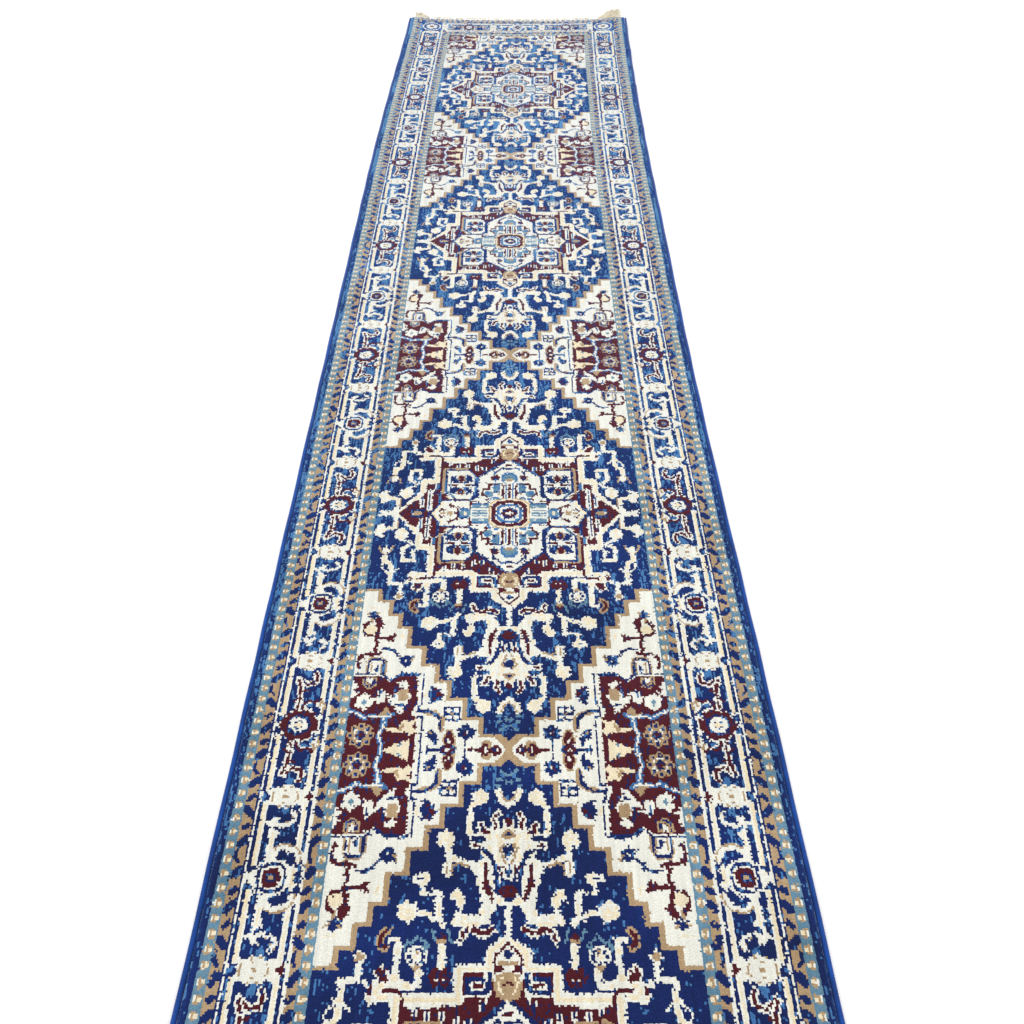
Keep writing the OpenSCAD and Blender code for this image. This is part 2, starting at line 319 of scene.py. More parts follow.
def paint_side_vine(c):
    """The white plant in the navy ground beside the medallion."""
    c.fill(IVORY, (80, -1), (93, -1), (94, 2.6), (85, 3), (82.4, 7), (83.5, 13.5), (88, 12.5),
           (91, 10), (94, 9.5), (94.6, 15.5), (96, 17), (95, 21), (91, 23), (87.4, 22),
           (90, 19), (86, 16.5), (80.5, 15))
    c.line(TAN, 1.2, (79.4, 7), (79.4, 14))
    blossom(c, 76, 20, 5, 5.4)
    c.line(IVORY, 2.4, (74, 25.5), (70, 26.5), (67.5, 30))
    # a square hook
    c.line(IVORY, 3.4, (67, 36), (66, 43.8), (73.6, 43.8), (74, 33), (71, 31))
    c.line(AZURE, 1.2, (64, 49), (67, 51))
    # a flower on a curved stem
    c.line(TAN, 1.3, (81, 30), (83, 36), (86, 38.6), (89.6, 35), (91, 30))
    c.line(IVORY, 1, (82.6, 32), (84, 37))
    c.spot(IVORY, 86, 34.5, 2.2, 3.4)
    c.line(IVORY, 3.4, (86, 40), (86, 44), (81.5, 46), (80.6, 52))
    c.line(IVORY, 1.6, (86.5, 45), (87.2, 49), (86, 51.5))
    c.line(IVORY, 2, (75.5, 51), (79, 53.5), (81, 56.5), (83, 54), (86, 51.6))
    c.line(IVORY, 3.6, (80.6, 55), (80.8, 63.5), (73, 63.5), (73, 71))
    c.line(IVORY, 2.4, (69.5, 61), (69.5, 63))
    c.fill(IVORY, (69.5, 74), (73.3, 69.5), (77, 74), (73.5, 78))
    c.spot(TAN, 73.3, 73.8, 2, 2.2)


def paint_arch(c):
    """The white arch, its buds and the small flower under it."""
    c.fill(IVORY, (57, 54), (62, 54), (66, 52.4), (68.6, 55), (68.4, 61), (65, 63), (66.5, 68),
           (62, 71), (58, 68), (57, 64), (46, 63), (42, 69), (42, 61), (44, 59.5), (57, 59.5))
    c.box(IVORY, 42.3, 60, 46, 69)
    c.box(IVORY, 53.4, 57, 57, 82)
    c.line(IVORY, 2.4, (55, 82), (59.5, 81.5))
    c.fill(BURGUNDY, (65.5, 57.6), (68, 57), (68.2, 59.5), (66, 61.2))
    c.fill(BURGUNDY, (57.8, 62.8), (62.5, 63), (64.6, 66.4), (63.6, 69.3), (60.4, 68))
    c.edged(BURGUNDY, TAN, 2, (61.6, 78.4), (64, 80), (63.8, 83), (61.6, 86))
    c.fill(NAVY, (59.5, 79), (61.5, 79.5), (61.8, 82.5), (60, 83.5))
    # the small flower
    c.spot(IVORY, 45.4, 74, 5.6, 5.2)
    c.fill(TAN, (43, 69.6), (47.6, 69.6), (45.4, 67))
    for petal in ring(45.4, 74, 3.6, 3.2, 8):
        c.spot(NAVY, *petal, 1, 0.9)
    c.spot(TAN, 45.4, 75.6, 1)
    c.line(SKY, 1.3, (39.6, 79), (41.6, 77), (41, 81), (43.6, 82))
    c.line(SKY, 1.3, (45.6, 83), (48.6, 80), (50.6, 81), (51.6, 76.5))
    # a stem between two buds
    for place in [(31, 62.5), (35.6, 62.5), (31, 67), (35.6, 67), (33.3, 65), (29.6, 65), (37, 65)]:
        c.spot(BURGUNDY, *place, 2.1)
    for x in (31.6, 35):
        c.spot(IVORY, x, 63.4, 0.9)
    c.box(IVORY, 31.4, 68.5, 35.4, 80)
    c.fill(TAN, (30.4, 80), (36.4, 80), (35, 82.6), (32, 82.6))
    c.fill(BURGUNDY, (30.8, 82), (36.4, 82), (33.6, 85))
    c.line(SKY, 1.3, (28.8, 81), (30.2, 86.5))
    c.line(SKY, 1.3, (36.8, 82), (38.2, 86))


def paint_great_leaf(c):
    """The large white leaf with burgundy veins, on the centre line."""
    c.edged(BURGUNDY, IVORY, 2, (8, 87), (12, 84.4), (15.4, 85.4), (18.6, 87.2), (22.4, 85.4),
            (23.6, 81.5))
    c.fill(IVORY, (9.5, 89.5), (17, 88), (28, 87.5), (29, 91), (27, 97), (30.5, 101.5), (29, 106),
           (25, 106), (21.8, 101), (23, 94.5), (15.6, 94), (14.2, 99), (16.4, 107), (17.4, 112.5),
           (20.5, 116.5), (26, 119), (30, 120), (29, 114.5), (31, 112), (34.6, 113), (35.4, 119),
           (33.6, 124), (34, 128), (31, 128), (29.5, 124), (20, 120.6), (14, 121.5), (15, 126),
           (11, 126), (8.6, 121), (7.4, 113), (7, 106), (3, 101), (-1, 100), (-1, 96), (5, 98.6))
    c.line(BURGUNDY, 2.4, (8.4, 101.4), (11.4, 107), (12, 113), (11.8, 117.6))
    c.line(TAN, 1.3, (29.8, 114), (29, 118.5), (26, 119.6), (21, 118))
    c.line(TAN, 1.3, (32.4, 114.6), (32.2, 119))
    c.fill(NAVY, (24, 96.6), (28, 96), (29, 99.6), (26, 101.6), (27.5, 98.6))
    # the fan on the centre line
    c.spot(BURGUNDY, 0, 105, 5, 3.4)
    c.line(IVORY, 1.8, (1, 111), (3.2, 116), (0, 119))
    c.line(IVORY, 1.6, (4.4, 110), (5.6, 115))
    c.line(BURGUNDY, 1.3, (3.6, 113.6), (3.4, 117), (4.8, 118.6), (5.8, 116.8))
    # the vase under it
    c.fill(IVORY, (-1, 121), (4.4, 117), (8, 121), (10, 126), (15, 127), (21.5, 126), (21.5, 134.5),
           (12, 136.4), (10, 138), (8.6, 141), (6, 141), (4, 137), (2.5, 143), (-1, 143))
    c.line(NAVY, 2, (5.6, 110), (7.4, 118), (9, 122), (11.6, 125.5), (14, 126.5))
    c.fill(NAVY, (-1, 122), (1.4, 123), (3.4, 127.5), (1, 129), (-1, 129))
    c.line(TAN, 1.3, (1.8, 120), (4.4, 126.5), (2.4, 129.5))
    c.fill(NAVY, (-1, 133.6), (2.6, 134.4), (-1, 137))
    c.line(TAN, 1.2, (-1, 132.6), (3.2, 134), (0, 138))
    c.fill(BURGUNDY, (15.8, 128.4), (17.4, 127.6), (19.4, 129), (17.6, 130.4))
    c.line(NAVY, 2.6, (13.6, 132.2), (20.6, 132.6))
    c.edged(BURGUNDY, IVORY, 1.8, (11.6, 135.6), (14, 136.6), (14.8, 140.4))
    c.edged(BURGUNDY, IVORY, 1.8, (7, 139), (8, 143.4), (5.6, 146.4))
    c.spot(BURGUNDY, 0, 141.6, 1.6, 2.6)


def paint_lower_vine(c):
    """The white stems and flowers between the great leaf and the stepped edge."""
    c.line(IVORY, 4, (33, 89), (35.4, 92), (36, 104))
    c.line(IVORY, 3, (37.6, 91), (41, 94), (46.6, 95))
    blossom(c, 51.4, 95.4, 5.6, 5.4)
    c.line(IVORY, 2.2, (38, 104.6), (43, 103.6))
    c.line(IVORY, 3.6, (44.4, 104.4), (44.4, 109))
    blossom(c, 45.2, 111.6, 5.2, 3.4, heart=NAVY)
    blossom(c, 33.6, 132, 5, 5.2)
    c.line(IVORY, 3.4, (20.6, 134), (21.6, 138), (20.8, 144), (21.4, 150), (18, 153))
    blossom(c, 15.6, 155.6, 5, 4.6)
    c.line(IVORY, 4, (-1, 150), (4, 154), (5.6, 159))
    c.line(TAN, 1.2, (-1, 152.4), (3, 155.4), (4.4, 159))
    for place in [(1.5, 164.5), (5.6, 166), (1.6, 168.6), (4.4, 171.4), (6, 162.4)]:
        c.spot(SKY, *place, 1.7, 1.1)
    c.spot(AZURE, 3.4, 168.4, 1.3)


def paint_corner(c):
    """The plants on the white corner."""
    c.line(BUTTER, 1.6, (88, 83.4), (92, 83.4))
    blossom(c, 88, 89, 3, 2.8, NAVY, NAVY)
    c.line(TAN, 1.1, (84.6, 87.4), (86.2, 88.6))
    c.line(TAN, 1.1, (92, 88.4), (90.2, 89.4))
    c.line(TAN, 1.6, (89.4, 91.6), (88.6, 95))
    c.spot(BURGUNDY, 83.8, 96, 2.4, 3.6)
    c.spot(BURGUNDY, 85.2, 93, 1.7, 1.6)
    c.spot(BUTTER, 89, 101, 3.6, 3.6)
    c.line(BURGUNDY, 1.7, (90, 94.8), (93, 98), (93.6, 101.4), (91.6, 104.6), (87, 105.4))
    c.line(BURGUNDY, 2, (84.2, 99), (84.8, 106), (84.2, 113), (85, 116), (83.6, 118))
    c.line(BURGUNDY, 2, (84, 107.4), (75, 107), (72.6, 105.2))
    c.line(BURGUNDY, 1.5, (76, 108), (73.6, 109.2))
    c.line(BUTTER, 1.6, (68.6, 104), (67.6, 107.6))
    # an arch of blue over a burgundy branch
    c.line(NAVY, 1.7, (69.6, 120), (72, 117), (75.6, 115), (80, 115.6))
    c.line(BURGUNDY, 1.6, (80.6, 118), (83.6, 119.2), (88, 118.8), (92, 119.4))
    c.line(BURGUNDY, 1.8, (86, 120), (85.4, 123))
    c.line(BURGUNDY, 2, (92.6, 119.6), (94.6, 124), (94, 128.4), (92.6, 129))
    blossom(c, 64.6, 124, 3.6, 3.4, NAVY, IVORY)
    c.line(NAVY, 1.4, (60.4, 121), (63, 124))
    c.line(NAVY, 1.4, (68.8, 121), (66, 124))
    c.line(TAN, 1.3, (59.4, 121), (61, 123.6))
    x = 82.8
    for half, yarn in [(6.6, TAN), (5.6, NAVY), (4.2, IVORY), (3.4, TAN), (2.6, IVORY)]:
        top = half * 0.6
        c.fill(yarn, (x - half, 134), (x - half, 125), (x - top, 128 - half),
               (x + top, 128 - half), (x + half, 125), (x + half, 134))
    c.fill(NAVY, (81, 128), (83.8, 130), (82.6, 132.4), (81, 131.6))
    # a navy bud, a clover and a curved branch
    c.spot(NAVY, 44.8, 148, 3.8, 4.6)
    c.line(NAVY, 1.4, (46, 144), (47.6, 142.6))
    c.line(NAVY, 1.4, (46, 152), (47.4, 153.6))
    c.line(NAVY, 1.4, (41, 147.6), (48.6, 148.4))
    c.spot(BURGUNDY, 42.4, 147.6, 1.6, 1.5)
    c.spot(BURGUNDY, 44.8, 144.6, 1, 1.2)
    c.spot(BURGUNDY, 44.8, 150.6, 1, 1)
    c.line(BUTTER, 1.4, (50.6, 146), (51.4, 149.6))
    for place in [(31.4, 158.4), (36, 158.4), (31.4, 163), (36, 163)]:
        c.stack(*place, (NAVY, 2.9, 2.8), (IVORY, 1.7, 1.5))
    c.spot(TAN, 33.7, 160.7, 1.3, 1)
    c.line(TAN, 3.4, (39.8, 171), (40, 163.6), (44, 160.6), (50, 159.6))
    c.line(NAVY, 1.7, (40.6, 171), (40.8, 164), (44.6, 160.4), (49, 158.8), (54, 158.8))
    c.fill(NAVY, (43, 173.4), (45.6, 170.4), (49, 173), (48, 176), (44.6, 177.6), (43.4, 181),
           (41.6, 180.4))
    c.spot(TAN, 46.2, 173.4, 1, 1)
    # flowers beside the centre line
    blossom(c, 25, 173, 4.6, 4.4, NAVY, IVORY)
    c.line(BURGUNDY, 1.1, (25, 175), (26.2, 171.6))
    c.line(NAVY, 1.6, (25.6, 177), (25.6, 190))
    c.fill(TAN, (33.4, 171), (36.4, 171), (39, 177), (37.6, 184), (32, 184), (30.4, 178))
    c.fill(BURGUNDY, (34, 172), (36.4, 172.4), (38.2, 178.6), (36.4, 181.4), (33.6, 181.4),
           (31.6, 179))
    c.fill(IVORY, (34.8, 176), (36.2, 178.6), (35, 181), (33.6, 178.6))
    c.line(NAVY, 1.6, (38, 184), (47.4, 184))
    c.line(NAVY, 1.6, (47.4, 181.6), (47.4, 188))
    c.spot(NAVY, 35, 184, 4, 3.4)
    c.spot(BURGUNDY, 35.4, 184, 3.2, 2.8)
    c.spot(IVORY, 35.2, 184.4, 1.8, 1.4)
    c.spot(TAN, 13, 182, 3.4, 4.4)
    c.fill(BURGUNDY, (12.6, 179.6), (15, 180.4), (18.6, 184), (15.4, 188.6), (12, 188), (10.8, 184))
    c.fill(IVORY, (13.4, 181.8), (15.8, 184.4), (13.6, 187.6), (12.6, 184.6))
    c.line(BURGUNDY, 1.6, (18, 184.2), (23.6, 184.2))
    c.stack(7.4, 184.4, (BURGUNDY, 3.4, 3.4), (IVORY, 1.8, 1.8))
    c.spot(NAVY, 8.2, 183.6, 0.9)


def paint_block(c):
    """The burgundy block in the corner of the repeat."""
    block = [(54.6, 190), (54.6, 163.4), (57.6, 162), (57.6, 157), (55.6, 153), (55.6, 134.8),
             (67.6, 134.8), (73.6, 139), (79, 134.6), (98, 134.6)]
    c.fill(BURGUNDY, *block, (98, 190))
    c.line(NAVY, 1.3, *shifted(block, -1, -0.8))
    c.line(IVORY, 1.4, *shifted(block[:6], -1.6, 0))
    c.line(NAVY, 1.4, *shifted(block[:6], -2.9, 0))
    # a white flower with a tan heart, on a stem
    c.fill(IVORY, (61.6, 139), (65, 137.4), (69, 139.6), (68, 142), (66.6, 143), (70, 150),
           (75, 148), (72, 155), (66, 160), (62.6, 162.6), (63.6, 157), (61, 153), (59, 149),
           (62.6, 144), (61, 141.6))
    c.fill(TAN, (61.4, 144), (66, 143.4), (68, 148), (66.4, 152), (61, 151.4), (60.6, 147))
    c.spot(BURGUNDY, 66.6, 143.6, 1.6, 1.2)
    c.line(NAVY, 1.4, (69, 142.6), (69.4, 149.6))
    c.line(NAVY, 1.3, (61, 155.6), (67.4, 154.6))
    # a small white hook and a rosette
    c.line(TAN, 3, (82.6, 137), (82.4, 140.6), (85.6, 142.4), (88.4, 140.4), (88.2, 136.6))
    c.line(NAVY, 1.3, (82.8, 137.6), (83, 141), (85.6, 142.4), (88.2, 141), (88.4, 137))
    c.line(IVORY, 1.5, (84.8, 137), (85, 139.8), (86.6, 137))
    c.fill(IVORY, (71.6, 147.4), (74, 146.6), (77.4, 144), (79.6, 144.6), (80.6, 149), (81, 153),
           (77, 154.4), (74.6, 151.4), (75.4, 148.6))
    c.line(NAVY, 1.4, (78, 145), (78.4, 149))
    blossom(c, 87.4, 153, 5.4, 5.8, heart=SKY)
    c.fill(IVORY, (98, 138), (94.6, 138.4), (92, 142), (94, 144.6), (91, 146.6), (94, 149.6),
           (98, 149.6))
    # a pale line that branches
    c.line(AZURE, 3, (69.4, 161), (72.4, 163), (79, 162), (86, 163.4), (90.6, 160.6), (96, 158.6))
    c.line(IVORY, 1.4, (70, 161.4), (73, 163.4), (79, 162.6), (86, 163.4), (91, 160.8), (97, 158.4))
    c.fill(TAN, (70.6, 160.6), (73.6, 155.4), (76.6, 160), (79, 161.6), (75, 162))
    for yarn, width in [(AZURE, 3), (IVORY, 1.5)]:
        c.line(yarn, width, (74, 163), (74, 169), (76.6, 174.4), (74.8, 180.6), (74.4, 190))
    # flames and a vase of butter yarn
    c.fill(BUTTER, (54.6, 164), (59, 166), (63, 165), (65.6, 170), (70, 170), (74, 169.6), (72, 172),
           (64, 173.6), (60, 172.6), (57.6, 175), (54.4, 172.6), (57, 169.6))
    c.fill(TAN, (62, 167), (66.4, 170.4), (63, 172.6))
    c.fill(BUTTER, (58.4, 177.4), (60.6, 179.4), (61.6, 177.8), (64, 180.6), (66, 179.6),
           (69, 182), (73.4, 183.2), (73.4, 190), (58.6, 190))
    c.line(SKY, 1, (62.6, 180.4), (64.4, 181.6))
    # a round flower
    for petal in ring(87, 174.8, 5.8, 5.8, 8):
        c.stack(*petal, (TAN, 2.3, 2.3), (NAVY, 1.3, 1.3))
    c.stack(87, 174.8, (IVORY, 4.2, 4.2), (TAN, 3.7, 3.7), (NAVY, 2.8, 2.8), (BURGUNDY, 1.6, 1.6))
    c.line(TAN, 1.2, (80, 188), (87, 184.6), (94, 188))


CREAM_PATCH = (3, 3)            # rows and columns of one patch of cream
CREAM_SHARE = 0.45              # how many patches are creamed


def creamed(knots, where):
    """Patches of butter inside the ivory shapes there, but not in the middle of a wide one."""
    tall, wide = CREAM_PATCH
    patches = seeded("cream").random((knots.shape[0] // tall + 1, knots.shape[1] // wide + 1))
    patches = np.kron(patches, np.ones(CREAM_PATCH))[:knots.shape[0], :knots.shape[1]]
    solid = [knots == IVORY]
    for _ in range(3):
        padded = np.pad(solid[-1], 1, mode="edge")
        beside = [padded[:-2, 1:-1], padded[2:, 1:-1], padded[1:-1, :-2], padded[1:-1, 2:]]
        solid.append(solid[-1] & np.all(beside, axis=0))
    where = where & solid[1] & ~solid[3] & (patches < CREAM_SHARE)
    return np.where(where, BUTTER, knots)


def field_quarter():
    """A quarter of one repeat. The cream comes before the medallion, which has none."""
    c = Chart(FIELD_X, FIELD_Y, NAVY)
    paint_grounds(c)
    on_navy = c.knots == NAVY
    paint_side_vine(c)
    paint_arch(c)
    paint_great_leaf(c)
    paint_lower_vine(c)
    c.knots = creamed(c.knots, on_navy)
    paint_medallion(c)
    paint_star(c)
    paint_corner_box(c)
    paint_cross(c)
    paint_centre(c)
    paint_pendant(c)
    paint_corner(c)
    paint_block(c)
    return c.knots


# The border's panels: x from the inner edge of the border to its outer edge, y
# from the white flower that links two panels to the rosette in the middle of one.
PANEL_X, PANEL_Y = 30, 44


def paint_panel_ground(c):
    """Navy lines, cream frames and the navy inside that every panel has."""
    c.box(IVORY, 0, 0, PANEL_X, PANEL_Y)
    c.box(NAVY, 5, 4, 24.4, PANEL_Y)
    c.fill(IVORY, (5, 4), (8, 4), (5, 7.4))
    c.fill(IVORY, (24.4, 4), (21.4, 4), (24.4, 7.4))
    c.box(BUTTER, 2.6, 4, 4, PANEL_Y)
    c.box(BUTTER, 25.4, 4, 26.6, PANEL_Y)
    c.box(NAVY, 0, 3.4, 1.6, 38)
    c.box(NAVY, 27.4, 3.4, 29, 40)


def paint_link(c):
    """Half of the white flower between two panels, with its triangles."""
    c.stack(15.6, 0, (IVORY, 9.4, 7), (TAN, 7.6, 6.2), (IVORY, 6.8, 5.6))
    for x in (11.6, 19.6):
        c.spot(IVORY, x, 3.4, 2.2)
    c.spot(TAN, 15.6, 0, 1.6, 0.9)
    c.spot(TAN, 15.6, 3.4, 1.1, 0.7)
    c.fill(BURGUNDY, (0.6, -4), (0.6, 3.8), (5, 0))
    c.fill(NAVY, (23.6, 0), (28, -4), (28, 4))
    c.spot(AZURE, 27, 0, 1.2, 1.6)


def paint_white_branch(c):
    """The white branch of a panel with a small rosette."""
    c.spot(AZURE, 14, 8, 1.6, 2.4)
    c.line(TAN, 3, (9.4, 9), (7.4, 12.6), (9.6, 15), (13, 16))
    c.line(IVORY, 2.6, (9.4, 9), (7, 12.6), (9.4, 15.2), (15, 16.6), (18, 16))
    c.fill(IVORY, (14.6, 10.6), (20.4, 11.4), (21, 14), (25, 14), (25, 16.4), (21, 16.6),
           (20.8, 37), (17, 37), (17.4, 25), (14.6, 20.6), (17.4, 18.6), (19, 16.4), (16, 14.4))
    c.box(BUTTER, 18, 20, 19.4, 37)
    c.line(NAVY, 1.8, (15.6, 18.8), (18.4, 17))
    c.line(IVORY, 4.4, (2, 33), (6, 29), (12, 28), (17, 31), (17, 36))
    c.line(TAN, 1.2, (1.6, 31.6), (5.4, 27.6), (12, 26.4), (17, 29))
    c.line(TAN, 1, (1, 36), (1.6, 33))
    c.fill(NAVY, (0.6, 38.6), (9, 30.6), (13.4, 30), (9.4, 33), (3, 39.4))


def paint_small_rosette(c):
    """Half of the burgundy rosette in the middle of a panel with a white branch."""
    c.fill(IVORY, (2, 40), (5, 37), (5, 48), (2, 48))
    c.spot(IVORY, 15.4, PANEL_Y, 11.4, 10)
    c.box(BUTTER, 3.4, 40, 5, 48)
    c.fill(NAVY, (0, 37), (2.2, 38), (1, 41), (4, 42.6), (2, 44), (2, 48), (0, 48))
    c.fill(NAVY, (24, 38.6), (28.6, 37), (29, 41), (27, 42))
    y = PANEL_Y
    c.fill(NAVY, (7.4, y), (8, y - 4.6), (11.6, y - 7.6), (19, y - 7.6), (22.6, y - 4.6), (23, y))
    c.fill(IVORY, (9, y), (9.4, y - 4), (12.4, y - 6.2), (18.4, y - 6.2), (21.2, y - 4), (21.6, y))
    c.stack(15.4, y, (BURGUNDY, 5, 5), (NAVY, 2.8, 2.6), (TAN, 1.3, 1))


def paint_burgundy_branch(c):
    """The burgundy branch of a panel with a large rosette."""
    c.spot(AZURE, 14.6, 8.6, 2, 3)
    c.edged(BURGUNDY, IVORY, 1.7, (10, 9), (8.4, 13), (10, 16), (14.6, 17), (17.6, 14.4),
            (20.4, 12.4))
    c.edged(BURGUNDY, IVORY, 1.7, (20, 13.6), (18, 20), (17.4, 27), (17.8, 33))
    c.line(BURGUNDY, 1.5, (17.6, 26), (21.4, 28.4))
    c.line(BURGUNDY, 1.5, (17.6, 22), (13.4, 20.4))
    c.line(AZURE, 1.4, (7, 19), (6.6, 24))
    c.fill(IVORY, (2.6, 38), (3, 30), (6, 27), (12, 29), (14.6, 32), (14, 35), (6, 36))
    c.line(TAN, 1.4, (2.6, 36), (1.6, 31), (4.4, 28.4), (5, 32))
    c.line(BURGUNDY, 1.6, (4.6, 26.6), (8, 29), (12.4, 27.8), (14.6, 30), (14.8, 33))
    c.spot(NAVY, 9.6, 31.4, 3, 1.9)
    c.spot(AZURE, 10.6, 31, 1.4, 1)
    c.fill(NAVY, (0.6, 38.6), (6.8, 33), (8.6, 33.8), (2.4, 40))


def paint_large_rosette(c):
    """Half of the white rosette in the middle of a panel with a burgundy branch."""
    y = PANEL_Y
    c.fill(IVORY, (1, 40), (4, 36), (6, 40), (6, 48), (1, 48))
    c.fill(IVORY, (24, 40), (25, 37), (PANEL_X, 36), (PANEL_X, 48), (24, 48))
    c.spot(IVORY, 15.4, y, 10.6, 10.4)
    c.fill(NAVY, (0, 37.6), (2.6, 38.6), (1.6, 41), (3.6, 42), (2.4, 44), (2.4, 48), (0, 48))
    c.fill(NAVY, (24.6, 40), (28.6, 37), (29, 41), (27.4, 43))
    c.spot(BURGUNDY, 15.4, y, 9.4, 9.2)
    for x, up in [(8.6, 6.6), (12, 8.4), (18.8, 8.4), (22, 6.4)]:
        c.spot(BURGUNDY, x, y - up, 1.6)
    c.fill(BURGUNDY, (3.4, y), (4.4, y - 3.4), (6.8, y - 4.6), (8, y - 3), (8, y))
    c.fill(BURGUNDY, (26.4, y), (25.4, y - 3), (23.4, y - 4.4), (22, y - 3), (22, y))
    c.stack(15.4, y, (NAVY, 7, 6.6), (IVORY, 5.9, 5.5), (NAVY, 3.2, 2.7), (BUTTER, 2.3, 1.7))
    for petal in ring(15.4, y, 3.1, 2.5, 8, 0.5):
        c.spot(IVORY, *petal, 0.6)


def half_panel(large, columns=PANEL_X, rows=PANEL_Y):
    """Half a panel, from its link to its rosette, fitted to that many knots."""
    c = Chart(columns, rows, IVORY, (columns / PANEL_X, rows / PANEL_Y))
    paint_panel_ground(c)
    if large:
        paint_burgundy_branch(c)
        paint_large_rosette(c)
    else:
        paint_white_branch(c)
        paint_small_rosette(c)
    paint_link(c)
    return c.knots


# The stripes round the field, from the inside out: guard, guard, border, guard,
# guard, edge. The sides count columns from the centre line, the ends count rows
# past the field.
SIDE_STARTS = [96, 102, 109, 139, 146, 153]
END_STARTS = [0, 6, 13, 40, 47, 51]
END_DEPTH = 54
END_PANEL_Y = 35
SIDE_BORDER = slice(*SIDE_STARTS[2:4])
END_BORDER = slice(*END_STARTS[2:4])
SEAM = 1.6                          # the ivory line between a guard and the border
LEAF_PITCH = FIELD_Y / 11
DOT_PITCH = FIELD_Y / 25
BORDER_ZONE, EDGE_ZONE = 3, 6
# Flecks and thinned outlines vary along the rug, from its near end (0) to its far end (1): more
# azure flecks towards the far end are painted sheen, and more dark outline knots towards the near
# end are painted shade.
FLECK_SHEEN_PLACES = [0.2, 0.42, 1]
FLECK_AND_SHEEN_SHARES = [0.03, 0.2, 0.34]    # how much of the navy is flecked there; the rise towards the far end is painted sheen
MORE_FLECKS = {BORDER_ZONE: 0.06, EDGE_ZONE: 0.06}      # and how much more in two of the zones
BURGUNDY_FLECKS = 0.07              # how much of the burgundy is flecked
FLECK_PATCH = (24, 5)               # rows and columns of a patch with its own number of flecks
DASH = 4                            # knots in a fleck, about
THIN_SHADE_PLACES = [0.25, 0.6]
THIN_AND_SHADE_SHARES = [0.42, 0.12]          # how many of the ivory knots in outlines go dark there, as painted shade, most at the near end
FRAYED = 0.11                       # how many knots take a neighbour's yarn


def paint_sky_guard(c, start, end):
    """Pale blue with a row of tan dots, each with two white spots."""
    c.box(SKY, start, -1, end, ROWS + 1)
    middle = (start + end) / 2 + 0.2
    for i in range(int(ROWS / DOT_PITCH) + 1):
        y = (i + 0.5) * DOT_PITCH
        c.spot(TAN, middle, y, 2.2, 2.3)
        c.spot(BUTTER, middle - 1.3, y, 0.7, 1.4)
        c.spot(IVORY, middle + 1.1, y, 0.7, 1.4)


def paint_tan_guard(c, start, end):
    """Tan with a slanting navy leaf, then a small navy bud or hook, and so on."""
    c.box(TAN, start, -1, end, ROWS + 1)
    middle = (start + end) / 2
    for i in range(int(ROWS / LEAF_PITCH) + 1):
        y = i * LEAF_PITCH + 3
        lean = 1 if i % 4 else -1
        c.line(NAVY, 4.4, (middle - 1.4, y - lean * 1.6), (middle + 1.4, y + lean * 1.4))
        if i % 3 == 1:
            c.line(NAVY, 1.8, (end - 1.4, y + 5), (end - 1.2, y + 9), (middle, y + 11))
        else:
            c.line(NAVY, 3.2, (middle - 1, y + 8), (middle + 0.8, y + 9.4))


def stripes(starts, columns, rows):
    """The guards and the edge on one side, from the middle of that side."""
    inner_sky, inner_tan, border, outer_tan, outer_sky, edge = starts
    c = Chart(columns, rows, NAVY)
    paint_sky_guard(c, inner_sky, inner_tan)
    paint_tan_guard(c, inner_tan, border - SEAM)
    c.box(IVORY, border - SEAM, 0, border, rows)
    paint_tan_guard(c, outer_tan + SEAM / 2, outer_sky)
    paint_sky_guard(c, outer_sky, edge - SEAM / 2)
    return c.knots


def border_strip(count, middle_is_large, columns=PANEL_X, rows=PANEL_Y):
    """Half panels outwards from a rosette, of two kinds in turn."""
    halves = []
    for i in range(count):
        large = ((i + 1) // 2 % 2 == 0) == middle_is_large
        half = half_panel(large, columns, rows)
        halves.append(half if i % 2 else half[::-1])
    return np.vstack(halves)


def border_corner(columns, rows):
    """A white flower in a white ring, where the side and the end meet."""
    c = Chart(columns, rows, NAVY)
    x, y = columns / 2, rows / 2
    c.stack(x, y, (IVORY, 13.5, 12.4), (NAVY, 11.4, 10.4))
    blossom(c, x, y, 8, 7.4)
    c.stack(x, y, (TAN, 3.4, 3), (BURGUNDY, 2.2, 2))
    return c.knots


def quarter_rug():
    """A quarter of the whole rug, from its middle to one corner."""
    field_end = REPEATS * FIELD_Y
    knots = stripes(SIDE_STARTS, COLUMNS, ROWS)
    knots[:, SIDE_BORDER] = border_strip(math.ceil(ROWS / PANEL_Y), True)[:ROWS]
    end = stripes(END_STARTS, END_DEPTH, COLUMNS)
    depth = END_BORDER.stop - END_BORDER.start
    count = math.ceil(COLUMNS / END_PANEL_Y)
    end[:, END_BORDER] = border_strip(count, False, depth, END_PANEL_Y)[:COLUMNS]
    quarter = field_quarter()
    turns = [quarter[::-1] if i % 2 == 0 else quarter for i in range(REPEATS)]
    knots[:field_end, :FIELD_X] = np.vstack(turns)

    beside = np.digitize(np.arange(COLUMNS), SIDE_STARTS)
    beyond = np.digitize(np.arange(END_DEPTH), END_STARTS)
    past = knots[field_end:]
    at_end = beyond[:, None] > beside[None, :]
    past[at_end] = end.T[at_end]
    past[END_BORDER, SIDE_BORDER] = border_corner(PANEL_X, depth)
    return knots


def zone_of_knots():
    """Which stripe each knot is in, from 0 for the field to EDGE_ZONE."""
    beside = np.digitize(np.arange(COLUMNS), SIDE_STARTS)
    beyond = np.digitize(np.arange(ROWS) - REPEATS * FIELD_Y, END_STARTS)
    return mirrored(np.maximum(beyond[:, None], beside[None, :]))


def mirrored(quarter):
    """The whole rug, from the quarter beyond its middle and on its right."""
    half = np.hstack([quarter[:, ::-1], quarter])
    return np.vstack([half[::-1], half])


def along_rug(knots, places, values):
    """A column with a number for each row of knots, from those at a few places."""
    return np.interp(np.linspace(0, 1, len(knots)), places, values)[:, None]


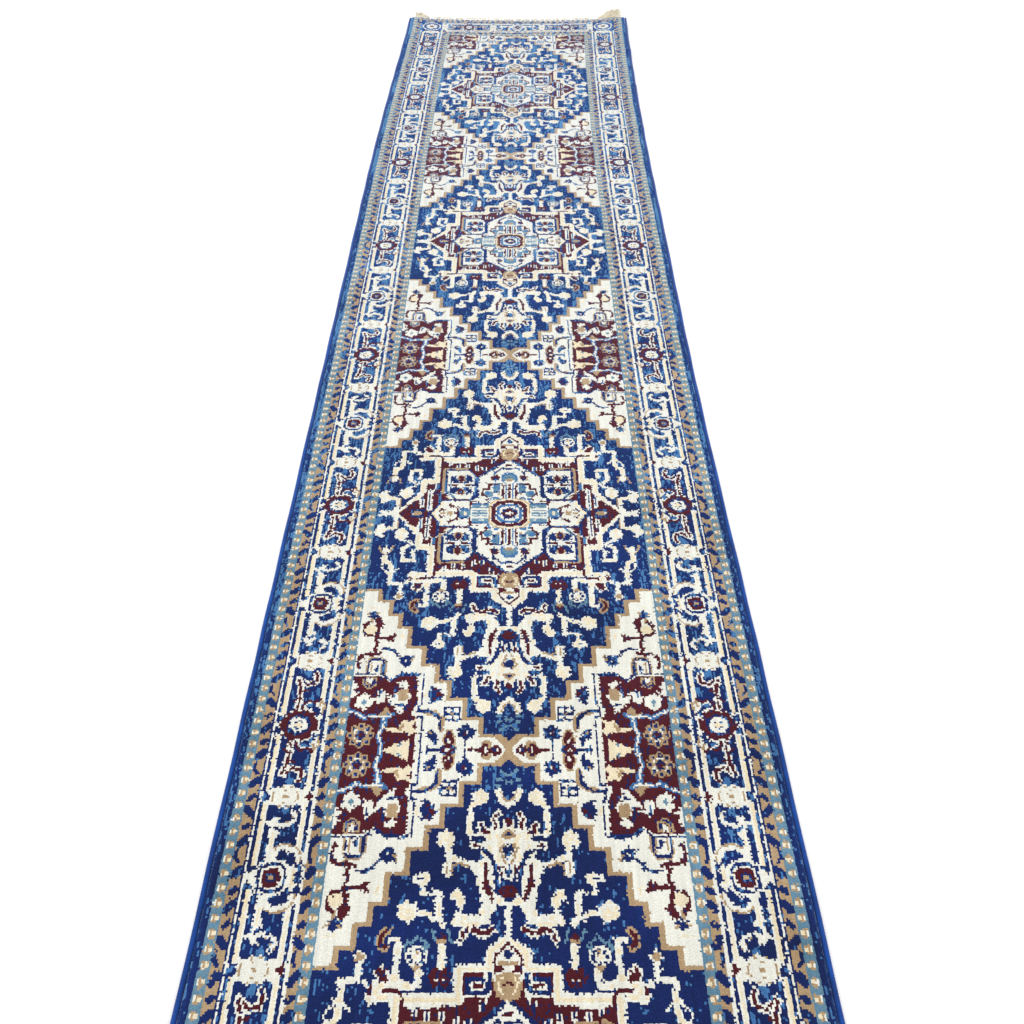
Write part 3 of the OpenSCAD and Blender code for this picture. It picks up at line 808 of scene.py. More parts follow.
def thinned(knots):
    """Some ivory knots along an outline take the darker yarn beside them, if it is no thin line.
    This is painted shade at the edges of the white pile, with more of it towards the near end.
    """
    rng = seeded("thinned")
    # painted shade: more outline knots go dark towards the near end
    share = along_rug(knots, THIN_SHADE_PLACES, THIN_AND_SHADE_SHARES)
    for axis, step in [(0, 1), (0, -1), (1, 1), (1, -1)]:
        beside = [np.roll(knots, step * away, axis=axis) for away in (1, 2, 3)]
        behind = np.roll(knots, -step, axis=axis)
        where = (knots == IVORY) & (behind == IVORY)
        where = where & np.all(np.isin(beside, [NAVY, AZURE, BURGUNDY]), axis=0)
        knots = np.where(where & (rng.random(knots.shape) < share), beside[0], knots)
    return knots


def roughened(knots):
    """Some knots take the yarn of a neighbour, which frays every outline."""
    rng = seeded("frayed")
    row, column = np.indices(knots.shape)
    step = rng.integers(-1, 2, (2, *knots.shape))
    stays = rng.random(knots.shape) > FRAYED
    step[:, stays] = 0
    row = np.clip(row + step[0], 0, knots.shape[0] - 1)
    column = np.clip(column + step[1], 0, knots.shape[1] - 1)
    return knots[row, column]


def flecked(knots, zones):
    """Short lengthwise dashes of azure in the navy, and a few of navy in the burgundy. The azure
    dashes grow denser towards the far end, as painted sheen.
    """
    rng = seeded("flecks")
    chance = rng.random(knots.shape)
    dash = sum(np.roll(chance, step, axis=0) for step in range(DASH))
    tall, wide = FLECK_PATCH
    patch = rng.random((knots.shape[0] // tall + 2, knots.shape[1] // wide + 2))
    patch = np.kron(patch, np.ones(FLECK_PATCH))[:knots.shape[0], :knots.shape[1]]
    patch = (patch + np.roll(patch, tall // 2, axis=0)) / 2
    # painted sheen: the share of azure flecks rises towards the far end of the rug
    flecks_and_sheen = along_rug(knots, FLECK_SHEEN_PLACES, FLECK_AND_SHEEN_SHARES) * (2 * patch) ** 2
    for zone, more in MORE_FLECKS.items():
        flecks_and_sheen = flecks_and_sheen + more * (zones == zone)
    order = dash.ravel().argsort().argsort().reshape(dash.shape) / dash.size
    azure = (order > 1 - flecks_and_sheen) & (knots == NAVY)
    knots = knots.copy()
    knots[(order < BURGUNDY_FLECKS) & (knots == BURGUNDY)] = NAVY
    knots[azure] = AZURE
    return knots


# --- How the rug lies ---------------------------------------------------------
SWAY_START = 0.75       # past this the rug bends to the right
SWAY = 0.027            # how far over its far end lies
SWAY_BEND = 1.7         # 1 would be a straight slant, and more is a rounder bend
PAST_END = 1.1          # the far fringe sways this many times as far at most
SPREAD = 0.11           # how much less the left edge sways, and the right edge more
WAIST = 0.008           # how far the right edge is drawn in, a little short of the middle
WAIST_Y, WAIST_REACH = -0.1, 0.6
CURL = 0.0065           # how far the far end curls up
CURL_REACH = 0.17
RIPPLE = 0.0006         # half the height of the waves across the far half
RIPPLE_LENGTH = 0.21
RIPPLE_SHIFT, RIPPLE_SHIFT_LENGTH = 0.05, 0.9       # which bends their crests
EDGE_WAVE = 0.0012      # half the height of the waves along the long edges
EDGE_WAVE_LENGTH = 0.19
EDGE_WAVE_TURN, EDGE_WAVE_TURN_LENGTH = 0.9, 0.73   # which makes them uneven
EDGE_REACH = 0.10       # how far in from the edge they start
CREASES = [1.02, 1.33, 1.62]    # where the right half rises in a soft ridge
CREASE, CREASE_WIDTH = 0.0035, 0.022
CREASE_SLANT = 0.08             # how much further along a crease is at the right edge
CREASE_START, CREASE_FULL = 0.1, 0.9    # shares of the half width
CORNER_LIFT = 0.0015
BOW = 0.03              # how much further the far corners reach than the middle of the end
BOW_REACH = 0.25
MOST_LIFT = 0.0095      # where several of these meet


def ramp(low, high, value):
    """0 up to low, 1 from high, and an even curve between them."""
    t = np.clip((value - low) / (high - low), 0, 1)
    return t * t * (3 - 2 * t)


def settle(points):
    """Moves points of the flat rug to where they lie on the floor."""
    x, y, z = np.array(points, dtype=float).T
    across = x / half_width
    far = np.clip((y - SWAY_START) / (half_length - SWAY_START), 0, PAST_END)
    sideways = SWAY * far ** SWAY_BEND * (1 + SPREAD * across)
    waist = np.exp(-((y - WAIST_Y) / WAIST_REACH) ** 2)
    sideways -= WAIST * waist * np.clip(across, 0, 1) ** 2

    along = TURN * (y + RIPPLE_SHIFT * np.sin(TURN * x / RIPPLE_SHIFT_LENGTH)) / RIPPLE_LENGTH
    lift = RIPPLE * ramp(half_length / 2, half_length, y) * (1 + np.sin(along))
    lift += CURL * ramp(half_length - CURL_REACH, half_length, y)
    to_edge = ramp(half_width - EDGE_REACH, half_width, np.abs(x))
    turn = TURN * y / EDGE_WAVE_LENGTH + np.sign(x)
    turn += EDGE_WAVE_TURN * np.sin(TURN * y / EDGE_WAVE_TURN_LENGTH)
    lift += EDGE_WAVE * to_edge * (1 + np.sin(turn))
    for middle in CREASES:
        slanted = (y - middle - CREASE_SLANT * across) / CREASE_WIDTH
        lift += CREASE * np.exp(-slanted ** 2) * ramp(CREASE_START, CREASE_FULL, across)
    lift += CORNER_LIFT * to_edge * ramp(half_length - CURL_REACH, half_length, np.abs(y))
    y = y + BOW * across ** 2 * ramp(half_length - BOW_REACH, half_length, y)
    return np.column_stack([x + sideways, y, z + np.minimum(lift, MOST_LIFT)])


# --- Meshes -------------------------------------------------------------------
SHARP = math.radians(65)        # faces that meet at more than this keep a hard edge
TUBE_TIP = 0.05                 # a tube closes to this share of its radius at both ends


def add_piece(name, points, quads, slot, material, *nodes):
    """One named piece of the rug, which stands for these CAD nodes."""
    mesh = bpy.data.meshes.new(name)
    mesh.vertices.add(len(points))
    mesh.vertices.foreach_set("co", settle(points).ravel())
    mesh.loops.add(quads.size)
    mesh.loops.foreach_set("vertex_index", quads.astype(np.int32).ravel())
    mesh.polygons.add(len(quads))
    mesh.polygons.foreach_set("loop_start", np.arange(0, quads.size, 4, dtype=np.int32))
    mesh.update(calc_edges=True)
    mesh.validate()
    mesh.shade_smooth()
    mesh.set_sharp_from_angle(angle=SHARP)
    mesh.materials.append(material)
    piece = bpy.data.objects.new(name, mesh)
    bpy.context.scene.collection.objects.link(piece)
    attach(piece, "root")
    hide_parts(*nodes)
    return piece


def grid_quads(rows, columns, start=0, wrap=False):
    """The cells of a grid of points, facing up where rows run along +Y."""
    index = start + np.arange(rows * columns).reshape(rows, columns)
    beside = np.roll(index, -1, axis=1)
    if not wrap:
        index, beside = index[:, :-1], beside[:, :-1]
    corners = [index[:-1], beside[:-1], beside[1:], index[1:]]
    return np.stack(corners, axis=-1).reshape(-1, 4)


def joined(parts):
    """Several (points, quads) as one."""
    points, quads, start = [], [], 0
    for part_points, part_quads in parts:
        points.append(part_points)
        quads.append(part_quads + start)
        start += len(part_points)
    return np.vstack(points), np.vstack(quads)


def tube(path, radius, sides=6):
    """A closed tube. radius is one number, one for each point, or one for each side too."""
    path = np.asarray(path, dtype=float)
    along = np.gradient(path, axis=0)
    along /= np.linalg.norm(along, axis=1)[:, None]
    beside = np.cross(along, [0, 0, 1])
    beside /= np.linalg.norm(beside, axis=1)[:, None]
    above = np.cross(beside, along)
    angle = TURN * np.arange(sides) / sides
    radius = np.broadcast_to(np.reshape(radius, (-1, 1) if np.ndim(radius) < 2 else (-1, sides)),
                             (len(path), sides)).copy()
    radius[[0, -1]] *= TUBE_TIP
    round_it = np.cos(angle)[:, None] * beside[:, None] + np.sin(angle)[:, None] * above[:, None]
    points = path[:, None] + radius[..., None] * round_it
    return points.reshape(-1, 3), grid_quads(len(path), sides, wrap=True)


def ribbed_slab(low, high, ribs_run, pitch, depth, cells):
    """A closed flat slab with ribs on both faces, which run along axis 0 or 1."""
    across = 1 - ribs_run
    steps = 2 * round((high[across] - low[across]) / pitch)
    counts = [0, 0]
    counts[across], counts[ribs_run] = steps + 1, cells + 1
    x = np.linspace(low[0], high[0], counts[0])
    y = np.linspace(low[1], high[1], counts[1])
    x, y = np.meshgrid(x, y)
    turn = np.arange(steps + 1) % 2
    hollow = depth * (turn if ribs_run == 1 else turn[:, None]) * np.ones_like(x)
    top = np.stack([x, y, high[2] - hollow], axis=-1).reshape(-1, 3)
    bottom = np.stack([x, y, low[2] + hollow], axis=-1).reshape(-1, 3)
    rows, columns = x.shape
    index = np.arange(rows * columns).reshape(rows, columns)
    rim = np.concatenate([index[0, :-1], index[:-1, -1], index[-1, :0:-1], index[:0:-1, 0]])
    after = np.roll(rim, -1)
    lower = rows * columns
    walls = np.stack([rim + lower, after + lower, after, rim], axis=-1)
    cells_up = grid_quads(rows, columns)
    cells_down = cells_up[:, ::-1] + lower
    return np.vstack([top, bottom]), np.vstack([cells_up, cells_down, walls])


# --- Materials ----------------------------------------------------------------
def srgb(red, green, blue):
    """The linear colour of screen values from 0 to 255."""
    value = np.array([red, green, blue]) / 255
    linear = np.where(value < 0.04045, value / 12.92, ((value + 0.055) / 1.055) ** 2.4)
    return (*linear, 1.0)


WAVES = 20              # a wave texture at scale 1 has this many ribs in TURN units


class Surface:
    """A material with short names for the nodes that it needs."""

    def __init__(self, name, roughness, sheen=0.0, sheen_tint=(1, 1, 1, 1)):
        self.material = bpy.data.materials.new(name)
        self.material.use_nodes = True
        self.nodes = self.material.node_tree.nodes
        self.links = self.material.node_tree.links
        self.shader = self.nodes["Principled BSDF"]
        for socket, value in {
            "Roughness": roughness, "Specular IOR Level": 0.25, "Sheen Weight": sheen,
            "Sheen Roughness": 0.45, "Sheen Tint": sheen_tint,
        }.items():
            self.shader.inputs[socket].default_value = value
        self.place = self.nodes.new("ShaderNodeTexCoord").outputs["Object"]

    def node(self, kind, inputs, output=0, **settings):
        """One output of a new node, with its inputs set or linked."""
        node = self.nodes.new("ShaderNode" + kind)
        for setting, value in settings.items():
            setattr(node, setting, value)
        for socket, value in inputs.items():
            if isinstance(value, bpy.types.NodeSocket):
                self.links.new(value, node.inputs[socket])
            else:
                node.inputs[socket].default_value = value
        return node.outputs[output]

    def noise(self, scale, stretch=(1, 1, 1), detail=2.0):
        """Noise from 0 to 1 whose features are about 1/scale metres."""
        place = self.node("Mapping", {"Vector": self.place, "Scale": stretch})
        return self.node("TexNoise", {"Vector": place, "Scale": scale, "Detail": detail}, "Fac")

    def cells(self, size):
        """Distance from the middle of the nearest tuft, with tufts of this size."""
        return self.node("TexVoronoi", {"Vector": self.place, "Scale": 1 / size}, "Distance")

    def ribs(self, pitch, axis, wobble=0.6):
        """Parallel ribs, 0 in the hollows and 1 on the crests."""
        inputs = {"Vector": self.place, "Scale": TURN / (WAVES * pitch), "Distortion": wobble,
                  "Detail Scale": 1.5}
        return self.node("TexWave", inputs, "Fac", bands_direction=axis)

    def spread(self, value, low, high, start=0.3, end=0.7):
        """value from start to end becomes low to high."""
        return self.node("MapRange", dict(enumerate([value, start, end, low, high])))

    def times(self, first, second):
        """first times second."""
        return self.node("Math", {0: first, 1: second}, operation="MULTIPLY")

    def mixed(self, share, first, second):
        """The colour first where share is 0, and second where it is 1."""
        return self.node("Mix", {0: share, 6: first, 7: second}, 2, data_type="RGBA")

    def shaded(self, colour, share):
        """colour times share."""
        return self.node("VectorMath", {0: colour, "Scale": share}, operation="SCALE")

    def finished(self, colour, height, depth):
        """The material, with bumps of this depth in metres."""
        bump = self.node("Bump", {"Distance": depth, "Strength": 1.0, "Height": height})
        self.links.new(colour, self.shader.inputs["Base Color"])
        self.links.new(bump, self.shader.inputs["Normal"])
        return self.material


TUFT = KNOT * 0.9
FIBRE = 0.0007
STREAK = 1 / 160        # how wide a lengthwise streak is
PATCH = 1 / 5           # how wide a faded patch is
MOST_FADED = 0.55
FIBRE_TONES = 0.88, 1.1
TUFT_RELIEF = 0.0009
YARN_RELIEF = 0.0004
JUTE_RELIEF = 0.0006
FLOOR_RELIEF = 0.0001


def pile_yarn(name, colour, faded, nap, painted_shade_depth):
    """Cut pile: tufts with painted shade between them, lengthwise streaks and slow fading."""
    s = Surface(name, roughness=0.92, sheen=0.9, sheen_tint=nap)
    fading = s.spread(s.noise(1 / PATCH, (0.6, 1.4, 1), detail=3), 0, MOST_FADED)
    streaks = s.spread(s.noise(1 / STREAK, (1, 0.09, 1)), 1 - painted_shade_depth / 2, 1.1)
    tufts = s.cells(TUFT)
    # painted shade: the colour darkens towards the edge of each tuft, as if shade fell between the
    # tufts
    shade_between_tufts = s.spread(tufts, 1.06, 1 - painted_shade_depth, start=0.2, end=0.8)
    fibres = s.spread(s.noise(1 / FIBRE), *FIBRE_TONES)
    tone = s.times(s.times(shade_between_tufts, fibres), streaks)
    base = s.shaded(s.mixed(fading, colour, faded), tone)
    rough = s.spread(fibres, 0.84, 1.0, *FIBRE_TONES)
    s.links.new(rough, s.shader.inputs["Roughness"])
    height = s.times(s.spread(tufts, 1, 0, start=0.1, end=0.8), fibres)
    return s.finished(base, height, TUFT_RELIEF)


def spun_yarn(name, colour, dark, strands):
    """A smooth spun yarn with fine strands and a few darker lengths."""
    s = Surface(name, roughness=0.75, sheen=0.25)
    patches = s.spread(s.noise(60, (1, 0.5, 1)), 0, 0.8)
    fibres = s.noise(1 / strands, detail=3)
    tone = s.spread(fibres, 0.8, 1.12)
    base = s.shaded(s.mixed(patches, colour, dark), tone)
    return s.finished(base, fibres, YARN_RELIEF)


def woven_jute(name, colour, dark, axis):
    """Coarse ribbed weft with hairy fibres, with painted shade in the hollows between the ribs."""
    s = Surface(name, roughness=0.95, sheen=0.1)
    ribs = s.ribs(KNOT, axis)
    patches = s.spread(s.noise(40, (0.3, 1, 1), detail=4), 0, 1)
    fibres = s.noise(1100, detail=3)
    # painted shade: the colour is darker in the hollows between the ribs; the fibres vary the tone
    # at random
    tone = s.times(s.spread(ribs, 0.68, 1.05, start=0, end=1), s.spread(fibres, 0.8, 1.15))
    base = s.shaded(s.mixed(patches, colour, dark), tone)
    return s.finished(base, s.times(ribs, s.spread(fibres, 0.7, 1)), JUTE_RELIEF)


def pale_floor():
    s = Surface("floor_white", roughness=0.7)
    grain = s.noise(300, detail=3)
    base = s.mixed(grain, srgb(246, 246, 246), srgb(252, 252, 252))
    return s.finished(base, grain, FLOOR_RELIEF)


# Each yarn's fresh colour, its faded colour, and the tint of its nap seen edge on.
PILE_COLOURS = {
    NAVY: ((9, 21, 70), (20, 50, 130), (74, 142, 240)),
    SKY: ((83, 122, 145), (128, 170, 196), (215, 240, 255)),
    AZURE: ((52, 101, 158), (94, 152, 208), (140, 206, 255)),
    IVORY: ((227, 226, 214), (240, 240, 229), (96, 128, 180)),
    BUTTER: ((231, 216, 180), (240, 230, 206), (150, 160, 176)),
    BURGUNDY: ((72, 12, 22), (94, 20, 34), (150, 110, 140)),
    TAN: ((166, 136, 98), (206, 180, 142), (225, 228, 232)),
}
SLOTS = {
    NAVY: "navy_pile", SKY: "sky_pile", AZURE: "sky_pile", IVORY: "ivory_pile",
    BUTTER: "butter_pile", BURGUNDY: "burgundy_pile", TAN: "tan_pile",
}
# How deep the painted shade between the tufts of each yarn is.
PAINTED_SHADE_DEPTH = {
    NAVY: 0.34, SKY: 0.26, AZURE: 0.3, IVORY: 0.12, BUTTER: 0.14, BURGUNDY: 0.3, TAN: 0.24,
}
pile_material = {
    yarn: pile_yarn("pile_" + YARNS[yarn], *[srgb(*colour) for colour in colours], PAINTED_SHADE_DEPTH[yarn])
    for yarn, colours in PILE_COLOURS.items()
}
binding_yarn = spun_yarn("overcast_yarn", srgb(12, 76, 162), srgb(8, 48, 116), 0.0008)
cotton_yarn = spun_yarn("cotton_yarn", srgb(238, 230, 208), srgb(206, 194, 166), 0.0006)
jute_weft = woven_jute("jute_weft", srgb(186, 160, 116), srgb(160, 132, 92), "Y")
cotton_warp = woven_jute("cotton_warp", srgb(226, 216, 192), srgb(206, 194, 166), "X")


# --- Pile ---------------------------------------------------------------------
ZONES = {"field": (0,), "guards": (1, 2, 4, 5), "border": (BORDER_ZONE,), "edge": (EDGE_ZONE,)}
STANDS_FOR = {
    "field": {
        NAVY: "field_navy", SKY: "field_sky", AZURE: "field_sky", IVORY: "field_white",
        BUTTER: "field_butter", BURGUNDY: "field_burgundy", TAN: "field_tan",
    },
    "border": {
        NAVY: "border_navy", AZURE: "border_navy", IVORY: "border_white",
        BUTTER: "border_white", BURGUNDY: "border_burgundy", TAN: "border_white",
    },
    "guards": {
        NAVY: "guard_tan", SKY: "guard_sky", AZURE: "guard_sky", IVORY: "guard_tan",
        BUTTER: "guard_sky", TAN: "guard_tan",
    },
    "edge": {NAVY: "edge_band_navy", AZURE: "edge_band_navy"},
}
MOST_FACES = 98000      # a piece with more is made as two or more, one behind the other
STRAY = 0.24            # how far a knot's corner strays, as a share of a knot
UNEVEN = 0.00035        # how much higher or lower one tuft stands than the next
DIP = 0.00045           # how far the pile dips where two colours meet
EDGE_DROPS = [0.0015, 0.0005]   # how far it is rounded down, one and two knots in


def knot_corners(rug):
    """Where the corners of the knots are, as rows of (x, y, z)."""
    rng = seeded("tufts")
    rows, columns = rug.shape
    x = (np.arange(columns + 1) - columns / 2) * KNOT
    y = (np.arange(rows + 1) - rows / 2) * KNOT
    x, y = np.meshgrid(x, y)
    shift = rng.uniform(-STRAY, STRAY, (2, *x.shape)) * KNOT
    shift[:, [0, -1]] = 0
    shift[:, :, [0, -1]] = 0
    x = np.clip(x + shift[0], -pile_x, pile_x)
    y = np.clip(y + shift[1], -half_length, half_length)
    z = pile_top + rng.uniform(-UNEVEN, UNEVEN, x.shape)

    around = np.pad(rug, 1, mode="edge")
    four = [around[:-1, :-1], around[1:, :-1], around[:-1, 1:], around[1:, 1:]]
    z -= DIP * (np.ptp(four, axis=0) > 0)
    inset = np.minimum(*np.indices(x.shape))
    inset = np.minimum(inset, inset[::-1, ::-1])
    for knots_in, drop in enumerate(EDGE_DROPS, start=1):
        z[inset == knots_in] -= drop
    z[inset == 0] = ground_top + UNEVEN
    return np.stack([x, y, z], axis=-1).reshape(-1, 3)


def pile_faces(chosen):
    """The tops of the chosen knots, and for each of their four sides the knots that have
    another yarn, or nothing, beyond it."""
    rows, columns = chosen.shape
    tops = grid_quads(rows + 1, columns + 1).reshape(rows, columns, 4)
    wide = np.pad(chosen, 1)
    beyond = [wide[:-2, 1:-1], wide[1:-1, 2:], wide[2:, 1:-1], wide[1:-1, :-2]]
    return tops, [chosen & ~other for other in beyond]


def pile_piece(name, chosen, points, yarn, node):
    """The cut pile of the chosen knots, with walls down to the ground all round it."""
    tops, open_sides = pile_faces(chosen)
    ground = points * [1, 1, 0] + [0, 0, ground_top]
    quads = [tops[chosen]]
    for side, where in enumerate(open_sides):
        first, second = tops[where][:, side], tops[where][:, (side + 1) % 4]
        quads.append(np.stack([first + len(points), second + len(points), second, first], axis=-1))
    used, quads = np.unique(np.vstack(quads), return_inverse=True)
    add_piece(name, np.vstack([points, ground])[used], quads.reshape(-1, 4), SLOTS[yarn],
              pile_material[yarn], node)


def bands(chosen):
    """The chosen knots as one or more bands across the rug, with even numbers of faces."""
    _, open_sides = pile_faces(chosen)
    faces = np.cumsum(np.sum([chosen, *open_sides], axis=(0, 2)))
    count = math.ceil(faces[-1] / MOST_FACES)
    band = np.ceil(faces / faces[-1] * count)
    return [chosen & (band == number)[:, None] for number in range(1, count + 1)]


def add_pile():
    zones = zone_of_knots()
    rug = flecked(roughened(thinned(mirrored(quarter_rug()))), zones)
    for zone, numbers in ZONES.items():
        stray = np.isin(zones, numbers) & ~np.isin(rug, list(STANDS_FOR[zone]))
        rug[stray] = NAVY
    points = knot_corners(rug)
    for zone, numbers in ZONES.items():
        for yarn, node in STANDS_FOR[zone].items():
            parts = bands(np.isin(zones, numbers) & (rug == yarn))
            for number, chosen in enumerate(parts, start=1):
                name = f"pile_{zone}_{YARNS[yarn]}"
                if len(parts) > 1:
                    name += f"_{number}"
                pile_piece(name, chosen, points, yarn, node)


# --- Ground -------------------------------------------------------------------
RIB = 0.00035           # how deep the hollow between two wefts is
ACROSS_CELLS = 12       # mesh cells along a rib that runs across the rug
ALONG_CELLS = 60        # and along one that runs from end to end
WEB_CELLS = 6


def add_ground():
    """Two ribbed wefts with the stuffer warp between them."""
    for name, runs, slot, material, cells in [
        ("jute_weft_back", 0, "jute", jute_weft, ACROSS_CELLS),
        ("stuffer_warp", 1, "cotton", cotton_warp, ALONG_CELLS),
        ("jute_weft_face", 0, "jute", jute_weft, ACROSS_CELLS),
    ]:
        low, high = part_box(name)
        depth = min(RIB, (high[2] - low[2]) / 4)
        points, quads = ribbed_slab(low, high, runs, KNOT, depth, cells)
        add_piece(name + "_woven", points, quads, slot, material, name)


# --- Long edges ---------------------------------------------------------------
WRAP = 0.0034           # from one wrap of the overcasting to the next
WRAP_STARTS = 3         # yarns wound side by side, which gives the wraps their slant
WRAP_SIDES = 12
WRAP_GROOVE = 0.11      # how deep the groove between two wraps is, as a share of the radius
WRAP_VARIETY = 0.12     # how much of the radius depends on how full a wrap's yarn is
LEAST_FULL = 0.75       # where 1 is the fullest
PLIES = 3
PLY_TURN = 0.012        # one full turn of the selvedge cord's plies
PLY_GROOVE = 0.16
CORD_SIDES = 9


def along_edge(side, step):
    """The middle line of the binding, from end to end."""
    count = round(2 * half_length / step) + 1
    y = np.linspace(-half_length, half_length, count)
    x = (binding_low[0] + binding_high[0]) / 2
    z = (binding_low[2] + binding_high[2]) / 2
    return np.column_stack([np.full(count, side * x), y, np.full(count, z)])


def overcast(side, name):
    """Yarn wound round the edge at a slant, each wrap a little fuller or thinner."""
    path = along_edge(side, WRAP / 4)
    angle = TURN * np.arange(WRAP_SIDES) / WRAP_SIDES
    turn = path[:, 1:2] / WRAP + WRAP_STARTS * angle / TURN
    wrap = np.floor(turn - turn.min()).astype(int)
    fullness = seeded("wraps", side).uniform(LEAST_FULL, 1, wrap.max() + 1)
    thinner = WRAP_VARIETY * (1 - fullness[wrap])
    groove = WRAP_GROOVE * (0.5 - 0.5 * np.cos(TURN * turn))
    radius = (binding_high[2] - binding_low[2]) / 2 * (1 - groove - thinner)
    points, quads = tube(path, radius, WRAP_SIDES)
    add_piece(name + "_wrapped", points, quads, "overcast_yarn", binding_yarn, name)


def selvedge_cord(side, name):
    """Cotton plies twisted together, inside the overcasting."""
    low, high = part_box(name)
    path = along_edge(side, PLY_TURN / 6)
    angle = TURN * np.arange(CORD_SIDES) / CORD_SIDES
    turn = TURN * path[:, 1:2] / PLY_TURN + angle
    crest = np.abs(np.cos(PLIES / 2 * turn))
    radius = (high[2] - low[2]) / 2 * (1 - PLY_GROOVE * (1 - crest))
    points, quads = tube(path, radius, CORD_SIDES)
    add_piece(name + "_plied", points, quads, "cotton", cotton_yarn, name)


# --- Ends ---------------------------------------------------------------------
WEB_RIB = RIB * 1.5
STITCH_PITCH, STITCH = 0.008, 0.005     # from one hem stitch to the next, and its length
STITCH_POINTS, STRAND_POINTS, COIL_POINTS = 7, 8, 14
TASSELS = 77
NECK, NECK_RADIUS = 0.005, 0.001        # the warp from the end of the rug to a tassel's knot
NECK_STRAY = 0.2                        # how much longer or shorter, as a share, it can be
NECK_ROOT = 0.003                       # how far that warp starts inside the end web
KNOT_WRAPS = 2.5
COIL, COIL_YARN = 0.55, 0.42            # a knot's coil and its yarn, as shares of its radius
COIL_LENGTH = 0.7                       # half the coil's length, as a share of its radius
STRANDS = 8
STRAND, STRAND_TIP = 0.0009, 0.0006     # a strand's radius at the knot and at its tip
STRAND_CURL, STRAND_BEND = 0.35, 1.5    # how far it turns, and how much of that near its tip
STRAND_RISE = 0.0006, 0.0022            # the least and the most that its middle rises
SHORTEST_STRAND = 0.75                  # as a share of the longest one
SKIRT = 0.35                            # the angle between a skirt's outer strands
STRAND_STRAY = 0.05                     # how far a strand strays from its place in the skirt
TASSEL_STRAY = 0.22                     # how far tassels turn from straight out
# At the far corners the tassels are long and drawn together towards one point.
BUNCHES = {
    "left": {"width": 0.07, "length": 0.045, "inset": 0.01},
    "right": {"width": 0.105, "length": 0.08, "inset": 0.02},
}
BUNCH_LIFT = 0.009


def end_web(name):
    """The bare flat-woven end, with its warp running out to the fringe."""
    low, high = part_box(name)
    points, quads = ribbed_slab(low, high, 1, KNOT, WEB_RIB, WEB_CELLS)
    add_piece(name + "_woven", points, quads, "cotton", cotton_yarn, name)


def hem_stitches(name):
    """Running stitches that dip into the web at both ends."""
    low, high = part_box(name)
    radius = (high[2] - low[2]) / 2
    count = round((high[0] - low[0] - STITCH) / STITCH_PITCH) + 1
    t = np.linspace(0, 1, STITCH_POINTS)
    stitches = []
    for i in range(count):
        x = low[0] + i * STITCH_PITCH + t * STITCH
        y = np.full(t.shape, (low[1] + high[1]) / 2)
        z = low[2] - radius + 2 * radius * np.sin(math.pi * t)
        stitches.append(tube(np.column_stack([x, y, z]), radius))
    add_piece(name + "_sewn", *joined(stitches), "cotton", cotton_yarn, name)


def strand(start, heading, length, curl, lift, rng):
    """One yarn end, lying on the floor or held up a little, and curling to one side."""
    t = np.linspace(0, 1, STRAND_POINTS)
    turned = heading + curl * t ** STRAND_BEND
    step = length / (len(t) - 1)
    x = start[0] + np.cumsum(np.sin(turned)) * step
    y = start[1] + np.cumsum(np.cos(turned)) * step
    rise = rng.uniform(*STRAND_RISE)
    z = start[2] * (1 - t) + STRAND * t + rise * np.sin(math.pi * t) + lift * rng.random() * t
    radius = STRAND * (1 - t) + STRAND_TIP * t
    return tube(np.column_stack([x, y, z]), radius, sides=5)


def tassel(x, root, height, out, stretch, heading, lift, rng):
    """A neck of warp, an overhand knot and a skirt of loose yarn ends."""
    neck = NECK * rng.uniform(1 - NECK_STRAY, 1 + NECK_STRAY)
    knot_radius = height / 2
    end = root + out * neck
    warp = [(x, y, height / 2) for y in (root - out * NECK_ROOT, (root + end) / 2, end)]
    parts = [tube(warp, NECK_RADIUS)]
    t = np.linspace(0, 1, COIL_POINTS)
    turn = TURN * KNOT_WRAPS * t
    coil = np.column_stack([
        x + knot_radius * COIL * np.cos(turn),
        end + out * knot_radius * (2 * t - 1) * COIL_LENGTH,
        height / 2 + knot_radius * COIL * np.sin(turn),
    ])
    parts.append(tube(coil, knot_radius * COIL_YARN))
    for i in range(STRANDS):
        aim = heading + (i / (STRANDS - 1) - 0.5) * SKIRT + rng.normal(0, STRAND_STRAY)
        length = stretch * rng.uniform(SHORTEST_STRAND, 1.0)
        parts.append(strand((x, end, height / 2), aim if out > 0 else math.pi - aim,
                            length, rng.normal(0, STRAND_CURL), lift, rng))
    return parts


def fringe(name, out):
    """Knotted tassels along one end."""
    low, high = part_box(name)
    rng = seeded("tassels", out)
    height = high[2] - low[2]
    root = low[1] if out > 0 else high[1]
    reach = high[1] - low[1] - NECK
    parts = []
    for x in np.linspace(low[0] + height / 2, high[0] - height / 2, TASSELS):
        length, heading, lift = reach, rng.normal(0, TASSEL_STRAY), 0
        bunch = BUNCHES["right" if x > 0 else "left"]
        if out > 0 and abs(x) > high[0] - bunch["width"]:
            sideways = math.copysign(high[0] - bunch["inset"], x) - x
            length = math.hypot(sideways, bunch["length"])
            heading = math.atan2(sideways, bunch["length"])
            lift = BUNCH_LIFT
        parts += tassel(x, root, height, out, length, heading, lift, rng)
    add_piece(name + "_knotted", *joined(parts), "cotton", cotton_yarn, name)


add_pile()
add_ground()
for side, which in [(-1, "left"), (1, "right")]:
    overcast(side, "overcast_" + which)
    selvedge_cord(side, "selvedge_cord_" + which)
for out, which in [(-1, "near"), (1, "far")]:
    end_web("end_web_" + which)
    hem_stitches("hem_stitch_" + which)
    fringe("fringe_" + which, out)


